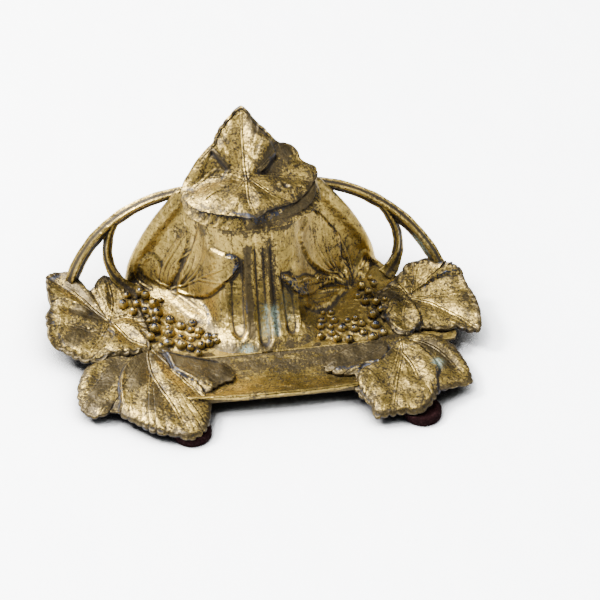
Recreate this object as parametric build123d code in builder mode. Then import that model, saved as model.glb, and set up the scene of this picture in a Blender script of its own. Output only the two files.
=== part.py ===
"""Vine-leaf inkstand: a bell-shaped well housing with a hinged leaf lid, four vine
leaves, two bunches of grapes, two whiplash handles and a pen channel in front.

Millimetres, +Z up, the pen channel towards -Y. The origin is on the surface that the
stand rests on, under the middle of its outline.
"""
import os
from math import hypot

from build123d import *

# ---- driving dimensions ----
axis_x = -1.5  # the middle of the well, the lid and the front column

pad_radius = 7.75
pad_thickness = 3.6
foot_radius = 5.0
front_pads = {"left": (-35.5, -55.5), "right": (57.0, -56.5)}
front_feet = {"left": (-36.0, -54.0, 5.0), "right": (55.2, -53.6, 3.8)}
rear_pads = {"left": (-39.0, 44.0), "right": (36.0, 44.0)}

deck_top = 8.0
deck_thickness = 2.2
deck_bottom = deck_top - deck_thickness
deck_rear_y = 64.25

channel_back_y = -19.0
channel_low_y = -32.0
channel_lip_y = -45.0
channel_low_z = 5.4
channel_lip_z = 7.6
channel_sheet = 1.7
channel_left = -33.0
channel_right = 38.0

rim_y = 33.0  # front face of the wings' raised edge
rim_thickness = 2.4
wall = 2.4
neck_top = 54.5
well_y = 33.0
cup_radius = 22.5
neck_hole_radius = 17.2

flute_depth = 1.1
flute_radius = 4.2
flute_setback = 0.12  # how fast the column's front falls back to each side
flutes = [(-10.5, 15.0, 41.0), (0.8, 10.5, 48.0), (12.3, 15.0, 37.0)]  # x, low and high ends

screw_spots = [(axis_x, -6.4), (axis_x - 12.0, 46.0), (axis_x + 12.0, 46.0)]
screw_radius = 1.5
screw_length = 6.5
screw_head_radius = 2.8
screw_head_height = 1.2
boss_radius = 3.2
boss_top = 15.0

pot_radius = 16.8
pot_wall = 2.4
pot_bottom = 22.0
pot_shoulder = 48.0
pot_flange_radius = 19.6
pot_flange_height = 1.8
pot_mouth_radius = 13.0
pot_top = neck_top + pot_flange_height

lid_gap = 0.3
lid_sheet = 2.0
lid_plate_bottom = pot_top + lid_gap
lid_plate_thickness = 1.6
lid_plate_top = lid_plate_bottom + lid_plate_thickness
lid_plate_radius = 21.5
skirt_bottom = neck_top + lid_gap
collar_radius = 12.2
collar_wall = 1.4
collar_drop = 2.6

hinge_y = 59.0
hinge_z = lid_plate_top
barrel_radius = 2.4
pin_radius = 1.2
pin_running_gap = 0.05
pin_head_radius = 1.9
pin_head_length = 1.0
knuckle_half = 5.0
ear_gap = 0.15
ear_length = 4.2
strap_thickness = 0.9
strap_front_y = 44.0
lid_rivet_radius = 1.0
lid_rivet_head = 1.7
lid_rivet_spots = [(axis_x - 2.8, 50.0), (axis_x + 2.8, 50.0)]
plate_inset = 1.2  # how far the closing plate's edge lies inside the lid's outline
bracket_low = 43.0
bracket_depth = 2.0
ear_start = knuckle_half + ear_gap
pin_half = ear_start + ear_length
cup_back_y = well_y + cup_radius

leaf_sheet = 1.8
leaf_reach = 60.0  # taller than any leaf, for the prisms that cut them out
handle_width = 4.2
tendril_width = 3.4
grape_sink = 0.9  # how far a grape's middle lies under its own radius above the deck
backing_height = 1.2

BOTTOM = (Align.CENTER, Align.CENTER, Align.MIN)
os.makedirs("parts", exist_ok=True)


def write(builder, name):
    """Label a finished piece and write it under its node's name."""
    builder.part.label = name
    export_step(builder.part, f"parts/{name}.step")


# ---- tray base: deck plate, pen channel, two rear feet ----
deck_left = [(-46, 44), (-54, 33), (-57, 14), (-55, -4), (-47, -15), (channel_left, channel_back_y)]
deck_right = [
    (channel_right, channel_back_y), (52, -20), (68, -21.5), (78, -20), (78, -15), (63, -6),
    (63, 14), (55, 33), (44, 44),
]

with BuildPart() as tray_base:
    with BuildSketch(Plane.XY.offset(deck_bottom)):
        with BuildLine():
            Polyline(*deck_left, *deck_right)
            Spline(deck_right[-1], (26, 58), (axis_x, deck_rear_y), (-29, 58), deck_left[0])
        make_face()
    extrude(amount=deck_thickness)
    with BuildSketch(Plane.YZ.offset(channel_left)):
        with BuildLine():
            ThreePointArc(
                (channel_back_y, deck_top),
                (channel_low_y, channel_low_z),
                (channel_lip_y, channel_lip_z),
            )
            Line((channel_lip_y, channel_lip_z), (channel_lip_y, channel_lip_z - channel_sheet))
            ThreePointArc(
                (channel_lip_y, channel_lip_z - channel_sheet),
                (channel_low_y, channel_low_z - channel_sheet),
                (channel_back_y, deck_bottom),
            )
            Line((channel_back_y, deck_bottom), (channel_back_y, deck_top))
        make_face()
    extrude(amount=channel_right - channel_left)
    for x, y in rear_pads.values():
        with Locations((x, y, pad_thickness)):
            Cylinder(foot_radius, deck_top - pad_thickness, align=BOTTOM)
    for x, y in screw_spots:
        with Locations(Plane(origin=(x, y, deck_bottom), z_dir=(0, 0, -1))):
            CounterBoreHole(screw_radius, screw_head_radius, screw_head_height, depth=deck_thickness)
write(tray_base, "tray_base")


# ---- well housing: bell-shaped front shell, round cup behind, open at the bottom ----
# Each level: height, half width at the rim, then (half width, y) of the hollow, the
# column's shoulder and its corner, and last the column's front.
housing_levels = [
    (deck_top, 55.0, [(36.0, 21.0), (23.5, 6.0), (16.5, -11.0)], -18.0),
    (16.0, 53.0, [(35.0, 24.0), (22.5, 10.0), (16.0, -3.5)], -9.0),
    (28.0, 48.0, [(33.0, 27.0), (22.0, 16.0), (15.5, 4.0)], -1.0),
    (42.0, 39.5, [(29.0, 29.5), (21.0, 20.0), (15.0, 9.0)], 4.0),
    (neck_top, 29.5, [(25.0, 31.0), (20.0, 21.5), (14.0, 12.0)], 7.0),
]


def front_line(half_width, hollow, front_y):
    """Points of one level's front, from the left rim round the column to the right rim."""
    right = [(half_width, rim_y), *hollow]
    left = [(-x, y) for x, y in right]
    return [(axis_x + x, y) for x, y in [*left, (0.0, front_y), *right[::-1]]]


def inward(points, distance):
    """The same front line, moved back into the wall by a distance."""
    moved = []
    for i, (x, y) in enumerate(points):
        before = points[max(i - 1, 0)]
        after = points[min(i + 1, len(points) - 1)]
        run_x, run_y = after[0] - before[0], after[1] - before[1]
        run = hypot(run_x, run_y)
        moved.append((x - run_y / run * distance, y + run_x / run * distance))
    return moved


with BuildPart() as housing_hollow:
    for z, half_width, hollow, front_y in housing_levels:
        level = min(z, neck_top - wall)
        inner = inward(front_line(half_width - wall, hollow, front_y), wall)
        back_y = rim_y + 3 * rim_thickness  # well past the rim, so that the back is left open
        with BuildSketch(Plane.XY.offset(level)):
            with BuildLine():
                Spline(*inner)
                Polyline(inner[-1], (inner[-1][0], back_y), (inner[0][0], back_y), inner[0])
            make_face()
    loft()

with BuildPart() as bell:
    for z, half_width, hollow, front_y in housing_levels:
        outer = front_line(half_width, hollow, front_y)
        back_y = rim_y + rim_thickness
        with BuildSketch(Plane.XY.offset(z)):
            with BuildLine():
                Spline(*outer)
                Polyline(outer[-1], (outer[-1][0], back_y), (outer[0][0], back_y), outer[0])
            make_face()
    loft()


def column_front(z):
    """Y of the column's front at a height, on the straight between its levels."""
    heights = [(level, front_y) for level, _, _, front_y in housing_levels]
    for (z0, y0), (z1, y1) in zip(heights, heights[1:]):
        if z <= z1:
            return y0 + (y1 - y0) * (z - z0) / (z1 - z0)


def flute_path(x, low, high):
    """Low, middle and high points of a flute's centre line, in front of the column at x."""
    stand_off = flute_radius - flute_depth - abs(x - axis_x) * flute_setback
    return [(x, column_front(z) - stand_off, z) for z in (low, (low + high) / 2, high)]


with BuildPart() as flute_cutters:
    for x, low, high in flutes:
        with BuildLine() as path:
            Polyline(*flute_path(axis_x + x, low, high))
        with BuildSketch(Plane(origin=path.line @ 0, z_dir=path.line % 0)):
            Circle(flute_radius)
        sweep(path=path.line, transition=Transition.RIGHT)

with BuildPart() as well_housing:
    add(bell.part)
    add(housing_hollow.part, mode=Mode.SUBTRACT)
    with Locations((axis_x, well_y, deck_top)):
        Cylinder(cup_radius, neck_top - deck_top, align=BOTTOM)
        Cylinder(cup_radius - wall, neck_top - deck_top - wall, align=BOTTOM, mode=Mode.SUBTRACT)
        Cylinder(neck_hole_radius, neck_top - deck_top, align=BOTTOM, mode=Mode.SUBTRACT)
    add(flute_cutters.part, mode=Mode.SUBTRACT)
    for x, y in screw_spots:
        with Locations((x, y, deck_top)):
            Cylinder(boss_radius, boss_top - deck_top, align=BOTTOM)
            Cylinder(screw_radius, screw_length, align=BOTTOM, mode=Mode.SUBTRACT)
write(well_housing, "well_housing")

with BuildPart() as housing_screws:
    for x, y in screw_spots:
        with Locations((x, y, deck_bottom)):
            Cylinder(screw_head_radius, screw_head_height, align=BOTTOM)
            Cylinder(screw_radius, deck_thickness + screw_length, align=BOTTOM)
write(housing_screws, "housing_screws")


# ---- ink pot: glass liner that hangs by its flange in the neck ----
with BuildPart() as ink_pot:
    with BuildSketch(Plane(origin=(axis_x, well_y, 0), x_dir=(1, 0, 0), z_dir=(0, -1, 0))):
        with BuildLine():
            Polyline(
                (0, pot_bottom),
                (pot_radius, pot_bottom),
                (pot_radius, neck_top),
                (pot_flange_radius, neck_top),
                (pot_flange_radius, pot_top),
                (pot_mouth_radius, pot_top),
                (pot_mouth_radius, pot_shoulder),
                (pot_radius - pot_wall, pot_shoulder - pot_wall),
                (pot_radius - pot_wall, pot_bottom + pot_wall),
                (0, pot_bottom + pot_wall),
                close=True,
            )
        make_face()
    revolve(axis=Axis((axis_x, well_y, 0), (0, 0, 1)))
write(ink_pot, "ink_pot")


# ---- the four vine leaves: lobed outlines cut from thin curved sheets ----
leaf_outlines = {
    "rear_left_leaf": [
        (-83, 35), (-88.5, 34), (-88, 21), (-86, 17), (-89.5, 9), (-89, -2), (-84, -8), (-74, -14.5),
        (-63, -13), (-52, -13), (-50, -3), (-52, 8), (-54, 20), (-59, 28), (-64.5, 31), (-70.5, 26),
        (-76.5, 31),
    ],
    "rear_right_leaf": [
        (49, 9), (50, -6), (53, -14), (57, -18.5), (62.5, -14), (66, -16.5), (74, -17), (82, -19),
        (88, -20), (89.8, -11), (89, 0), (86.5, 9), (84, 16), (77, 17), (73.5, 23), (66, 21.5),
        (62, 16), (56, 12),
    ],
    "front_left_leaf": [
        (-50, -12), (-64, -11), (-72, -16), (-78.5, -28), (-78, -40), (-73, -44.5), (-64, -43),
        (-56, -51.5), (-46, -58), (-37, -62), (-31, -59.5), (-27.5, -44), (-31, -35), (-26, -38),
        (-17.5, -34), (-17, -27), (-30, -21), (-41, -14),
    ],
    "front_right_leaf": [
        (54, -20), (42, -21), (31, -22.5), (22, -28), (21.5, -32.5), (29, -37), (34, -37), (32, -45),
        (36, -53), (37.5, -60), (50, -60), (56, -60.5), (62, -55), (65, -51), (78.5, -46), (78.5, -35),
        (72, -22), (64, -20),
    ],
}
# Each cupped leaf: x, y and height of the lowest point of its underside, and its radius.
# Each domed leaf: x, y and height of the crown of its top, and its radius.
cupped_leaves = {"rear_left_leaf": (-60.0, 2.0, 7.6, 150.0), "rear_right_leaf": (62.0, -10.0, 7.6, 90.0)}
domed_leaves = {
    "front_left_leaf": (-45.0, -26.0, 11.0, 130.0),
    "front_right_leaf": (52.0, -27.0, 11.0, 115.0),
}


def leaf_blank(outline):
    """An upright prism over a leaf's outline."""
    with BuildPart() as blank:
        with BuildSketch():
            with BuildLine():
                Polyline(*outline, close=True)
            make_face()
        extrude(amount=leaf_reach)
    return blank.part


def bowed_sheet(x, y, height, radius, middle_above):
    """A thin sheet of a sphere through x, y at a height: a bowl if its middle is above, else a dome."""
    middle = Pos(x, y, height + (radius if middle_above else -radius))
    return middle * (Sphere(radius) - Sphere(radius - leaf_sheet))


def trim(builder, *neighbours):
    """Cut a piece back to the faces of the pieces that it is soldered to."""
    with builder:
        for neighbour in neighbours:
            add(neighbour.part, mode=Mode.SUBTRACT)


leaves = {}
for name, place in cupped_leaves.items():
    blank = leaf_blank(leaf_outlines[name])
    sheet = bowed_sheet(*place, middle_above=True)
    with BuildPart() as leaf:
        add(blank)
        add(sheet, mode=Mode.INTERSECT)
        add(tray_base.part, mode=Mode.SUBTRACT)
        add(well_housing.part, mode=Mode.SUBTRACT)
    leaves[name] = leaf

for name, place in domed_leaves.items():
    side = name.split("_")[1]
    foot_x, foot_y, foot_size = front_feet[side]
    blank = leaf_blank(leaf_outlines[name])
    sheet = bowed_sheet(*place, middle_above=False)
    with BuildPart() as leaf:
        add(blank)
        with Locations((foot_x, foot_y, 0)):
            Cylinder(foot_size, leaf_reach, align=BOTTOM)
        add(sheet, mode=Mode.INTERSECT)
        with Locations((foot_x, foot_y, pad_thickness)):
            Cylinder(foot_size, foot_size / 2, align=BOTTOM)
        add(tray_base.part, mode=Mode.SUBTRACT)
        add(leaves[f"rear_{side}_leaf"].part, mode=Mode.SUBTRACT)
    leaves[name] = leaf

for name, leaf in leaves.items():
    write(leaf, name)


# ---- felt pads ----
for place, pads in {"front": front_pads, "rear": rear_pads}.items():
    for side, (x, y) in pads.items():
        with BuildPart() as felt_pad:
            with Locations((x, y, 0)):
                Cylinder(pad_radius, pad_thickness, align=BOTTOM)
        write(felt_pad, f"felt_pad_{place}_{side}")


# ---- handles and tendrils: bands bent along arcs ----
def band(start, middle, end, width):
    """A square band with broken corners, bent through three points."""
    with BuildPart() as bent:
        with BuildLine() as path:
            ThreePointArc(start, middle, end)
        with BuildSketch(Plane(origin=path.line @ 0, x_dir=(0, 1, 0), z_dir=path.line % 0)) as profile:
            Rectangle(width, width)
            chamfer(profile.vertices(), length=width / 5)
        sweep(path=path.line)
    return bent


handles = {
    "left_handle": band((-22.5, 37.4, 51.5), (-62, 35.5, 37.5), (-79.5, 31.5, 11.0), handle_width),
    "right_handle": band((19.5, 37.4, 51.5), (58, 34, 37), (79, 19.5, 13.5), handle_width),
}
tendrils = {
    "left_tendril": band((-60.5, 34.5, 38.5), (-63, 31.5, 22), (-54, 25, 9.5), tendril_width),
    "right_tendril": band((56.0, 34.0, 38.5), (62.0, 30, 23), (58.5, 23, 9.5), tendril_width),
}
for side in ("left", "right"):
    trim(handles[f"{side}_handle"], well_housing, leaves[f"rear_{side}_leaf"])
    trim(
        tendrils[f"{side}_tendril"],
        handles[f"{side}_handle"],
        well_housing,
        leaves[f"rear_{side}_leaf"],
        tray_base,
    )
for name, bent in {**handles, **tendrils}.items():
    write(bent, name)


# ---- grapes: rows of round berries on a thin backing ----
# Each row: first berry's x and y, step to the next in x and y, number of berries, radius.
grape_rows = {
    "left_grapes": [
        (-55.5, 19.0, 5.0, 1.6, 3, 2.3),
        (-57.5, 13.6, 4.5, 0.4, 4, 2.4),
        (-53.8, 9.0, 4.6, 0.2, 3, 2.4),
        (-46.0, 3.6, 4.6, 0.6, 2, 2.4),
        (-47.0, -2.2, 4.5, 0.3, 4, 2.5),
        (-48.0, -7.0, 4.4, -0.1, 7, 2.3),
        (-42.4, -11.6, 4.4, -0.1, 5, 2.6),
        (-33.6, -15.8, 4.3, 0.6, 2, 2.2),
    ],
    "right_grapes": [
        (44.0, 14.6, 4.8, -0.4, 2, 2.3),
        (41.5, 9.8, 4.5, -0.1, 2, 2.3),
        (43.8, 4.8, 4.4, -0.9, 2, 2.2),
        (24.4, 0.2, 4.3, -0.1, 2, 2.0),
        (24.0, -4.4, 4.6, -0.4, 2, 2.3),
        (41.6, -4.4, 4.4, -0.4, 3, 2.3),
        (23.0, -9.0, 4.4, -0.4, 7, 2.4),
        (22.6, -13.4, 4.5, -0.2, 6, 2.3),
        (30.6, -17.4, 4.4, -0.2, 4, 2.2),
    ],
}
grape_backings = {
    "left_grapes": [
        (-58, 12), (-56, 20), (-45, 23), (-42, 14), (-42, 4), (-32, 0), (-21, -7), (-25, -15),
        (-35, -17), (-49, -8), (-49, 3), (-54, 8),
    ],
    "right_grapes": [
        (42, 16), (50, 15), (50, 5), (54, 3), (51, -12), (43, -18), (30, -17.5), (22, -14), (23, 1),
        (30, 1), (31, -7), (40, -7), (41, 8),
    ],
}
clusters = {}
for name, rows in grape_rows.items():
    side = name.split("_")[0]
    with BuildPart() as cluster:
        with BuildSketch(Plane.XY.offset(deck_top)):
            with BuildLine():
                Polyline(*grape_backings[name], close=True)
            make_face()
        extrude(amount=backing_height)
        for x, y, step_x, step_y, count, radius in rows:
            spots = [(x + i * step_x, y + i * step_y, deck_top + radius - grape_sink) for i in range(count)]
            with Locations(*spots):
                Sphere(radius)
        add(leaves[f"front_{side}_leaf"].part, mode=Mode.SUBTRACT)
    trim(cluster, tray_base, well_housing, leaves[f"rear_{side}_leaf"], tendrils[f"{side}_tendril"])
    clusters[name] = cluster
    write(cluster, name)


# ---- lid: leaf-shaped bonnet, closing plate, locating collar ----
# Each station along the bonnet: y, half width, height of the edge, height of the crown.
bonnet_stations = [
    (3.0, 12.0, 57.0, 59.0),
    (8.0, 21.0, 57.5, 61.5),
    (20.0, 28.5, 58.5, 66.5),
    (32.0, 28.0, 60.5, 72.0),
]
tongue_stations = [
    (26.0, 20.0, 63.5, 69.5),
    (32.0, 19.5, 66.5, 73.0),
    (40.0, 12.0, 73.5, 78.5),
    (48.5, 2.5, 83.0, 85.0),
]


def arched_section(y, half_width, edge, crown, floor, dip=None):
    """An arched section across the lid, square to Y, on a flat or an arched underside."""
    plane = Plane(origin=(axis_x, y, 0), x_dir=(1, 0, 0), z_dir=(0, -1, 0))
    with BuildSketch(plane) as section:
        with BuildLine():
            ThreePointArc((-half_width, edge), (0, crown), (half_width, edge))
            Line((half_width, edge), (half_width, floor))
            if dip:
                ThreePointArc((half_width, floor), (0, dip), (-half_width, floor))
            else:
                Line((half_width, floor), (-half_width, floor))
            Line((-half_width, floor), (-half_width, edge))
        make_face()
    return section.sketch


bonnet_sections = [
    arched_section(y, half_width, edge, crown, skirt_bottom)
    for y, half_width, edge, crown in bonnet_stations
]
hollow_sections = [
    arched_section(
        y + lid_sheet, half_width - lid_sheet, edge - lid_sheet / 2, crown - lid_sheet, skirt_bottom
    )
    for y, half_width, edge, crown in bonnet_stations
]
tongue_sections = [
    arched_section(y, half_width, edge, crown, edge - lid_sheet, crown - lid_sheet)
    for y, half_width, edge, crown in tongue_stations
]

with BuildPart() as lid_leaf:
    loft(bonnet_sections)
    loft(hollow_sections, mode=Mode.SUBTRACT)
    loft(tongue_sections)
write(lid_leaf, "lid_leaf")

with BuildPart() as lid_plate:
    with BuildSketch(Plane.XY.offset(lid_plate_bottom)):
        with Locations((axis_x, well_y)):
            Circle(lid_plate_radius)
        with BuildLine():
            plate_front = [
                (axis_x + half_width - plate_inset, y + plate_inset)
                for y, half_width, _, _ in bonnet_stations
            ]
            plate_left = [(2 * axis_x - x, y) for x, y in plate_front[::-1]]
            Polyline(*plate_front, *plate_left, close=True)
        make_face()
    extrude(amount=lid_plate_thickness)
    add(lid_leaf.part, mode=Mode.SUBTRACT)
    for x, y in lid_rivet_spots:
        with Locations((x, y, lid_plate_top)):
            Hole(lid_rivet_radius, depth=lid_plate_thickness)
write(lid_plate, "lid_plate")

with BuildPart() as lid_collar:
    with Locations((axis_x, well_y, lid_plate_bottom - collar_drop)):
        Cylinder(collar_radius, collar_drop, align=BOTTOM)
        Cylinder(collar_radius - collar_wall, collar_drop, align=BOTTOM, mode=Mode.SUBTRACT)
write(lid_collar, "lid_collar")


# ---- hinge: strap and knuckle on the lid, two ears on the housing, one riveted pin ----
def across(x):
    """The YZ plane at a distance along the hinge from the middle of the well."""
    return Plane.YZ.offset(axis_x + x)


with BuildPart() as lid_hinge_strap:
    with BuildSketch(across(-knuckle_half)):
        with Locations((hinge_y, hinge_z)):
            Circle(barrel_radius)
        with BuildLine():
            Polyline(
                (strap_front_y, lid_plate_top),
                (hinge_y, lid_plate_top),
                (hinge_y, lid_plate_top + strap_thickness),
                (strap_front_y, lid_plate_top + strap_thickness),
                close=True,
            )
        make_face()
        with Locations((hinge_y, hinge_z)):
            Circle(pin_radius + pin_running_gap, mode=Mode.SUBTRACT)
    extrude(amount=2 * knuckle_half)
    for x, y in lid_rivet_spots:
        with Locations((x, y, lid_plate_top + strap_thickness)):
            Hole(lid_rivet_radius, depth=strap_thickness)
write(lid_hinge_strap, "lid_hinge_strap")

with BuildPart() as lid_rivets:
    for x, y in lid_rivet_spots:
        with Locations((x, y, lid_plate_bottom)):
            Cylinder(lid_rivet_radius, lid_plate_thickness + strap_thickness, align=BOTTOM)
        with Locations((x, y, lid_plate_top + strap_thickness)):
            Cylinder(lid_rivet_head, lid_rivet_head / 2, align=BOTTOM)
write(lid_rivets, "lid_rivets")

with BuildPart() as hinge_bracket:
    with BuildSketch(Plane.XY.offset(bracket_low)):
        with Locations((axis_x, cup_back_y)):
            Rectangle(2 * (ear_start + ear_length), 2 * bracket_depth)
    extrude(amount=neck_top - bracket_low)
    for inner_x in (-ear_start - ear_length, ear_start):
        with BuildSketch(across(inner_x)):
            with Locations((hinge_y, hinge_z)):
                Circle(barrel_radius)
            with BuildLine():
                Polyline(
                    (cup_back_y, bracket_low + bracket_depth),
                    (cup_back_y + bracket_depth, bracket_low + bracket_depth),
                    (hinge_y + barrel_radius, hinge_z),
                    (hinge_y - barrel_radius, hinge_z),
                    (cup_back_y, neck_top),
                    close=True,
                )
            make_face()
            with Locations((hinge_y, hinge_z)):
                Circle(pin_radius, mode=Mode.SUBTRACT)
        extrude(amount=ear_length)
    with Locations((axis_x, well_y, deck_top)):
        Cylinder(cup_radius, neck_top, align=BOTTOM, mode=Mode.SUBTRACT)
write(hinge_bracket, "hinge_bracket")

with BuildPart() as hinge_pin:
    with BuildSketch(across(-pin_half)):
        with Locations((hinge_y, hinge_z)):
            Circle(pin_radius)
    extrude(amount=2 * pin_half)
    for end, direction in ((-pin_half, -1), (pin_half, 1)):
        with BuildSketch(across(end)):
            with Locations((hinge_y, hinge_z)):
                Circle(pin_head_radius)
        extrude(amount=direction * pin_head_length)
write(hinge_pin, "hinge_pin")
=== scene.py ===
import math

import bmesh
import bpy
import numpy as np
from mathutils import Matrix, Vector


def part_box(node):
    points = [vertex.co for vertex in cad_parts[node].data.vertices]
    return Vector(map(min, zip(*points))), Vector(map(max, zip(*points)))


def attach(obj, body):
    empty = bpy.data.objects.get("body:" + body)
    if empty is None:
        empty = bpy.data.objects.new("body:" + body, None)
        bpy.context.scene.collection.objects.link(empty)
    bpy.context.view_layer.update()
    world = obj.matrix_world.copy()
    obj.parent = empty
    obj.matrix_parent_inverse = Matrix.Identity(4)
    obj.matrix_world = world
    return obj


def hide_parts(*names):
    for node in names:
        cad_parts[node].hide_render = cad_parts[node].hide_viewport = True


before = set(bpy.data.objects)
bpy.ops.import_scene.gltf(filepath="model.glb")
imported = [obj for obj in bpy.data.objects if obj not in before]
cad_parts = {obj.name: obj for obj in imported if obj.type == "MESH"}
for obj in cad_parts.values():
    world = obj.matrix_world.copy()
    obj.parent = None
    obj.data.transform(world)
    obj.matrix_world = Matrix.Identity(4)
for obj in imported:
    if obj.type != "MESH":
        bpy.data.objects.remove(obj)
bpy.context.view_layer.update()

MM = 0.001


def box_mm(node):
    """A CAD node's lowest and highest corner in millimetres."""
    low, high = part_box(node)
    return np.array(low) / MM, np.array(high) / MM


pot_low, pot_high = box_mm("ink_pot")
housing_low, housing_high = box_mm("well_housing")
AXIS_X = (pot_low[0] + pot_high[0]) / 2
WELL_Y = (pot_low[1] + pot_high[1]) / 2
DECK_TOP = housing_low[2]
NECK_TOP = housing_high[2]
FINE = 1.0


# ---------------------------------------------------------------- curves and grids
def spline(points, count, closed=False):
    """Evenly spaced points along a smooth curve through the given points."""
    pts = np.array(points, float)
    if closed:
        pts = np.vstack([pts[-2:], pts, pts[:3]])
    else:
        pts = np.vstack([2 * pts[0] - pts[1], pts, 2 * pts[-1] - pts[-2]])
    steps = np.sqrt(np.linalg.norm(np.diff(pts, axis=0), axis=1)) + 1e-9
    knots = np.concatenate([[0], np.cumsum(steps)])
    first, last = (2, len(pts) - 3) if closed else (1, len(pts) - 2)
    dense = []
    for i in range(first, last):
        p0, p1, p2, p3 = pts[i - 1:i + 3]
        t0, t1, t2, t3 = knots[i - 1:i + 3]
        t = np.linspace(t1, t2, 24, endpoint=False)[:, None]
        a1 = (t1 - t) / (t1 - t0) * p0 + (t - t0) / (t1 - t0) * p1
        a2 = (t2 - t) / (t2 - t1) * p1 + (t - t1) / (t2 - t1) * p2
        a3 = (t3 - t) / (t3 - t2) * p2 + (t - t2) / (t3 - t2) * p3
        b1 = (t2 - t) / (t2 - t0) * a1 + (t - t0) / (t2 - t0) * a2
        b2 = (t3 - t) / (t3 - t1) * a2 + (t - t1) / (t3 - t1) * a3
        dense.append((t2 - t) / (t2 - t1) * b1 + (t - t1) / (t2 - t1) * b2)
    dense = np.vstack(dense + [pts[last][None]])
    length = np.concatenate([[0], np.cumsum(np.linalg.norm(np.diff(dense, axis=0), axis=1))])
    at = np.linspace(0, length[-1], count, endpoint=not closed)
    return np.stack([np.interp(at, length, dense[:, k]) for k in range(dense.shape[1])], axis=1)


def smooth_step(x):
    """0 below 0, 1 above 1, smooth between."""
    x = np.clip(x, 0, 1)
    return x * x * (3 - 2 * x)


def ripple(x, y, size, seed):
    """A smooth uneven surface between about -1 and 1, with features of that size."""
    k = 2 * math.pi / size
    total = 0
    for i in range(5):
        angle = seed * 1.7 + i * 2.4
        rate = k * (0.55 + 0.28 * i)
        total = total + np.sin((x * math.cos(angle) + y * math.sin(angle)) * rate + seed * 5.1 + i * 1.3)
    return total / 3.2


def line_distance(x, y, line):
    """Distance to a line of points, the signed side, and how far along it the nearest point is."""
    line = np.array(line, float)[:, :2]
    best = np.full(x.shape, 1e9)
    side = np.zeros(x.shape)
    along = np.zeros(x.shape)
    lengths = np.linalg.norm(np.diff(line, axis=0), axis=1)
    total = lengths.sum()
    run = 0.0
    for (x0, y0), (x1, y1), length in zip(line, line[1:], lengths):
        dx, dy = (x1 - x0) / length, (y1 - y0) / length
        t = np.clip((x - x0) * dx + (y - y0) * dy, 0, length)
        ex, ey = x - x0 - t * dx, y - y0 - t * dy
        distance = np.hypot(ex, ey)
        nearer = distance < best
        best = np.where(nearer, distance, best)
        side = np.where(nearer, dx * ey - dy * ex, side)
        along = np.where(nearer, (run + t) / total, along)
        run += length
    return best, np.sign(side) * best, along


def inside_distance(x, y, outline):
    """How far inside a closed outline each point is, negative outside."""
    pts = np.array(outline, float)
    closed = np.vstack([pts, pts[:1]])
    distance, _, _ = line_distance(x, y, closed)
    inside = np.zeros(x.shape, bool)
    for (x0, y0), (x1, y1) in zip(closed, closed[1:]):
        crosses = (y0 > y) != (y1 > y)
        inside ^= crosses & (x < (x1 - x0) * (y - y0) / (y1 - y0 + 1e-12) + x0)
    return np.where(inside, distance, -distance)


def grid_normals(grid, wrap):
    """Unit normals of a grid of points; columns may wrap round."""
    if wrap:
        across = np.roll(grid, -1, axis=1) - np.roll(grid, 1, axis=1)
    else:
        across = np.gradient(grid, axis=1)
    down = np.gradient(grid, axis=0)
    normal = np.cross(across, down)
    size = np.linalg.norm(normal, axis=2, keepdims=True)
    return normal / np.maximum(size, 1e-9)


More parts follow.
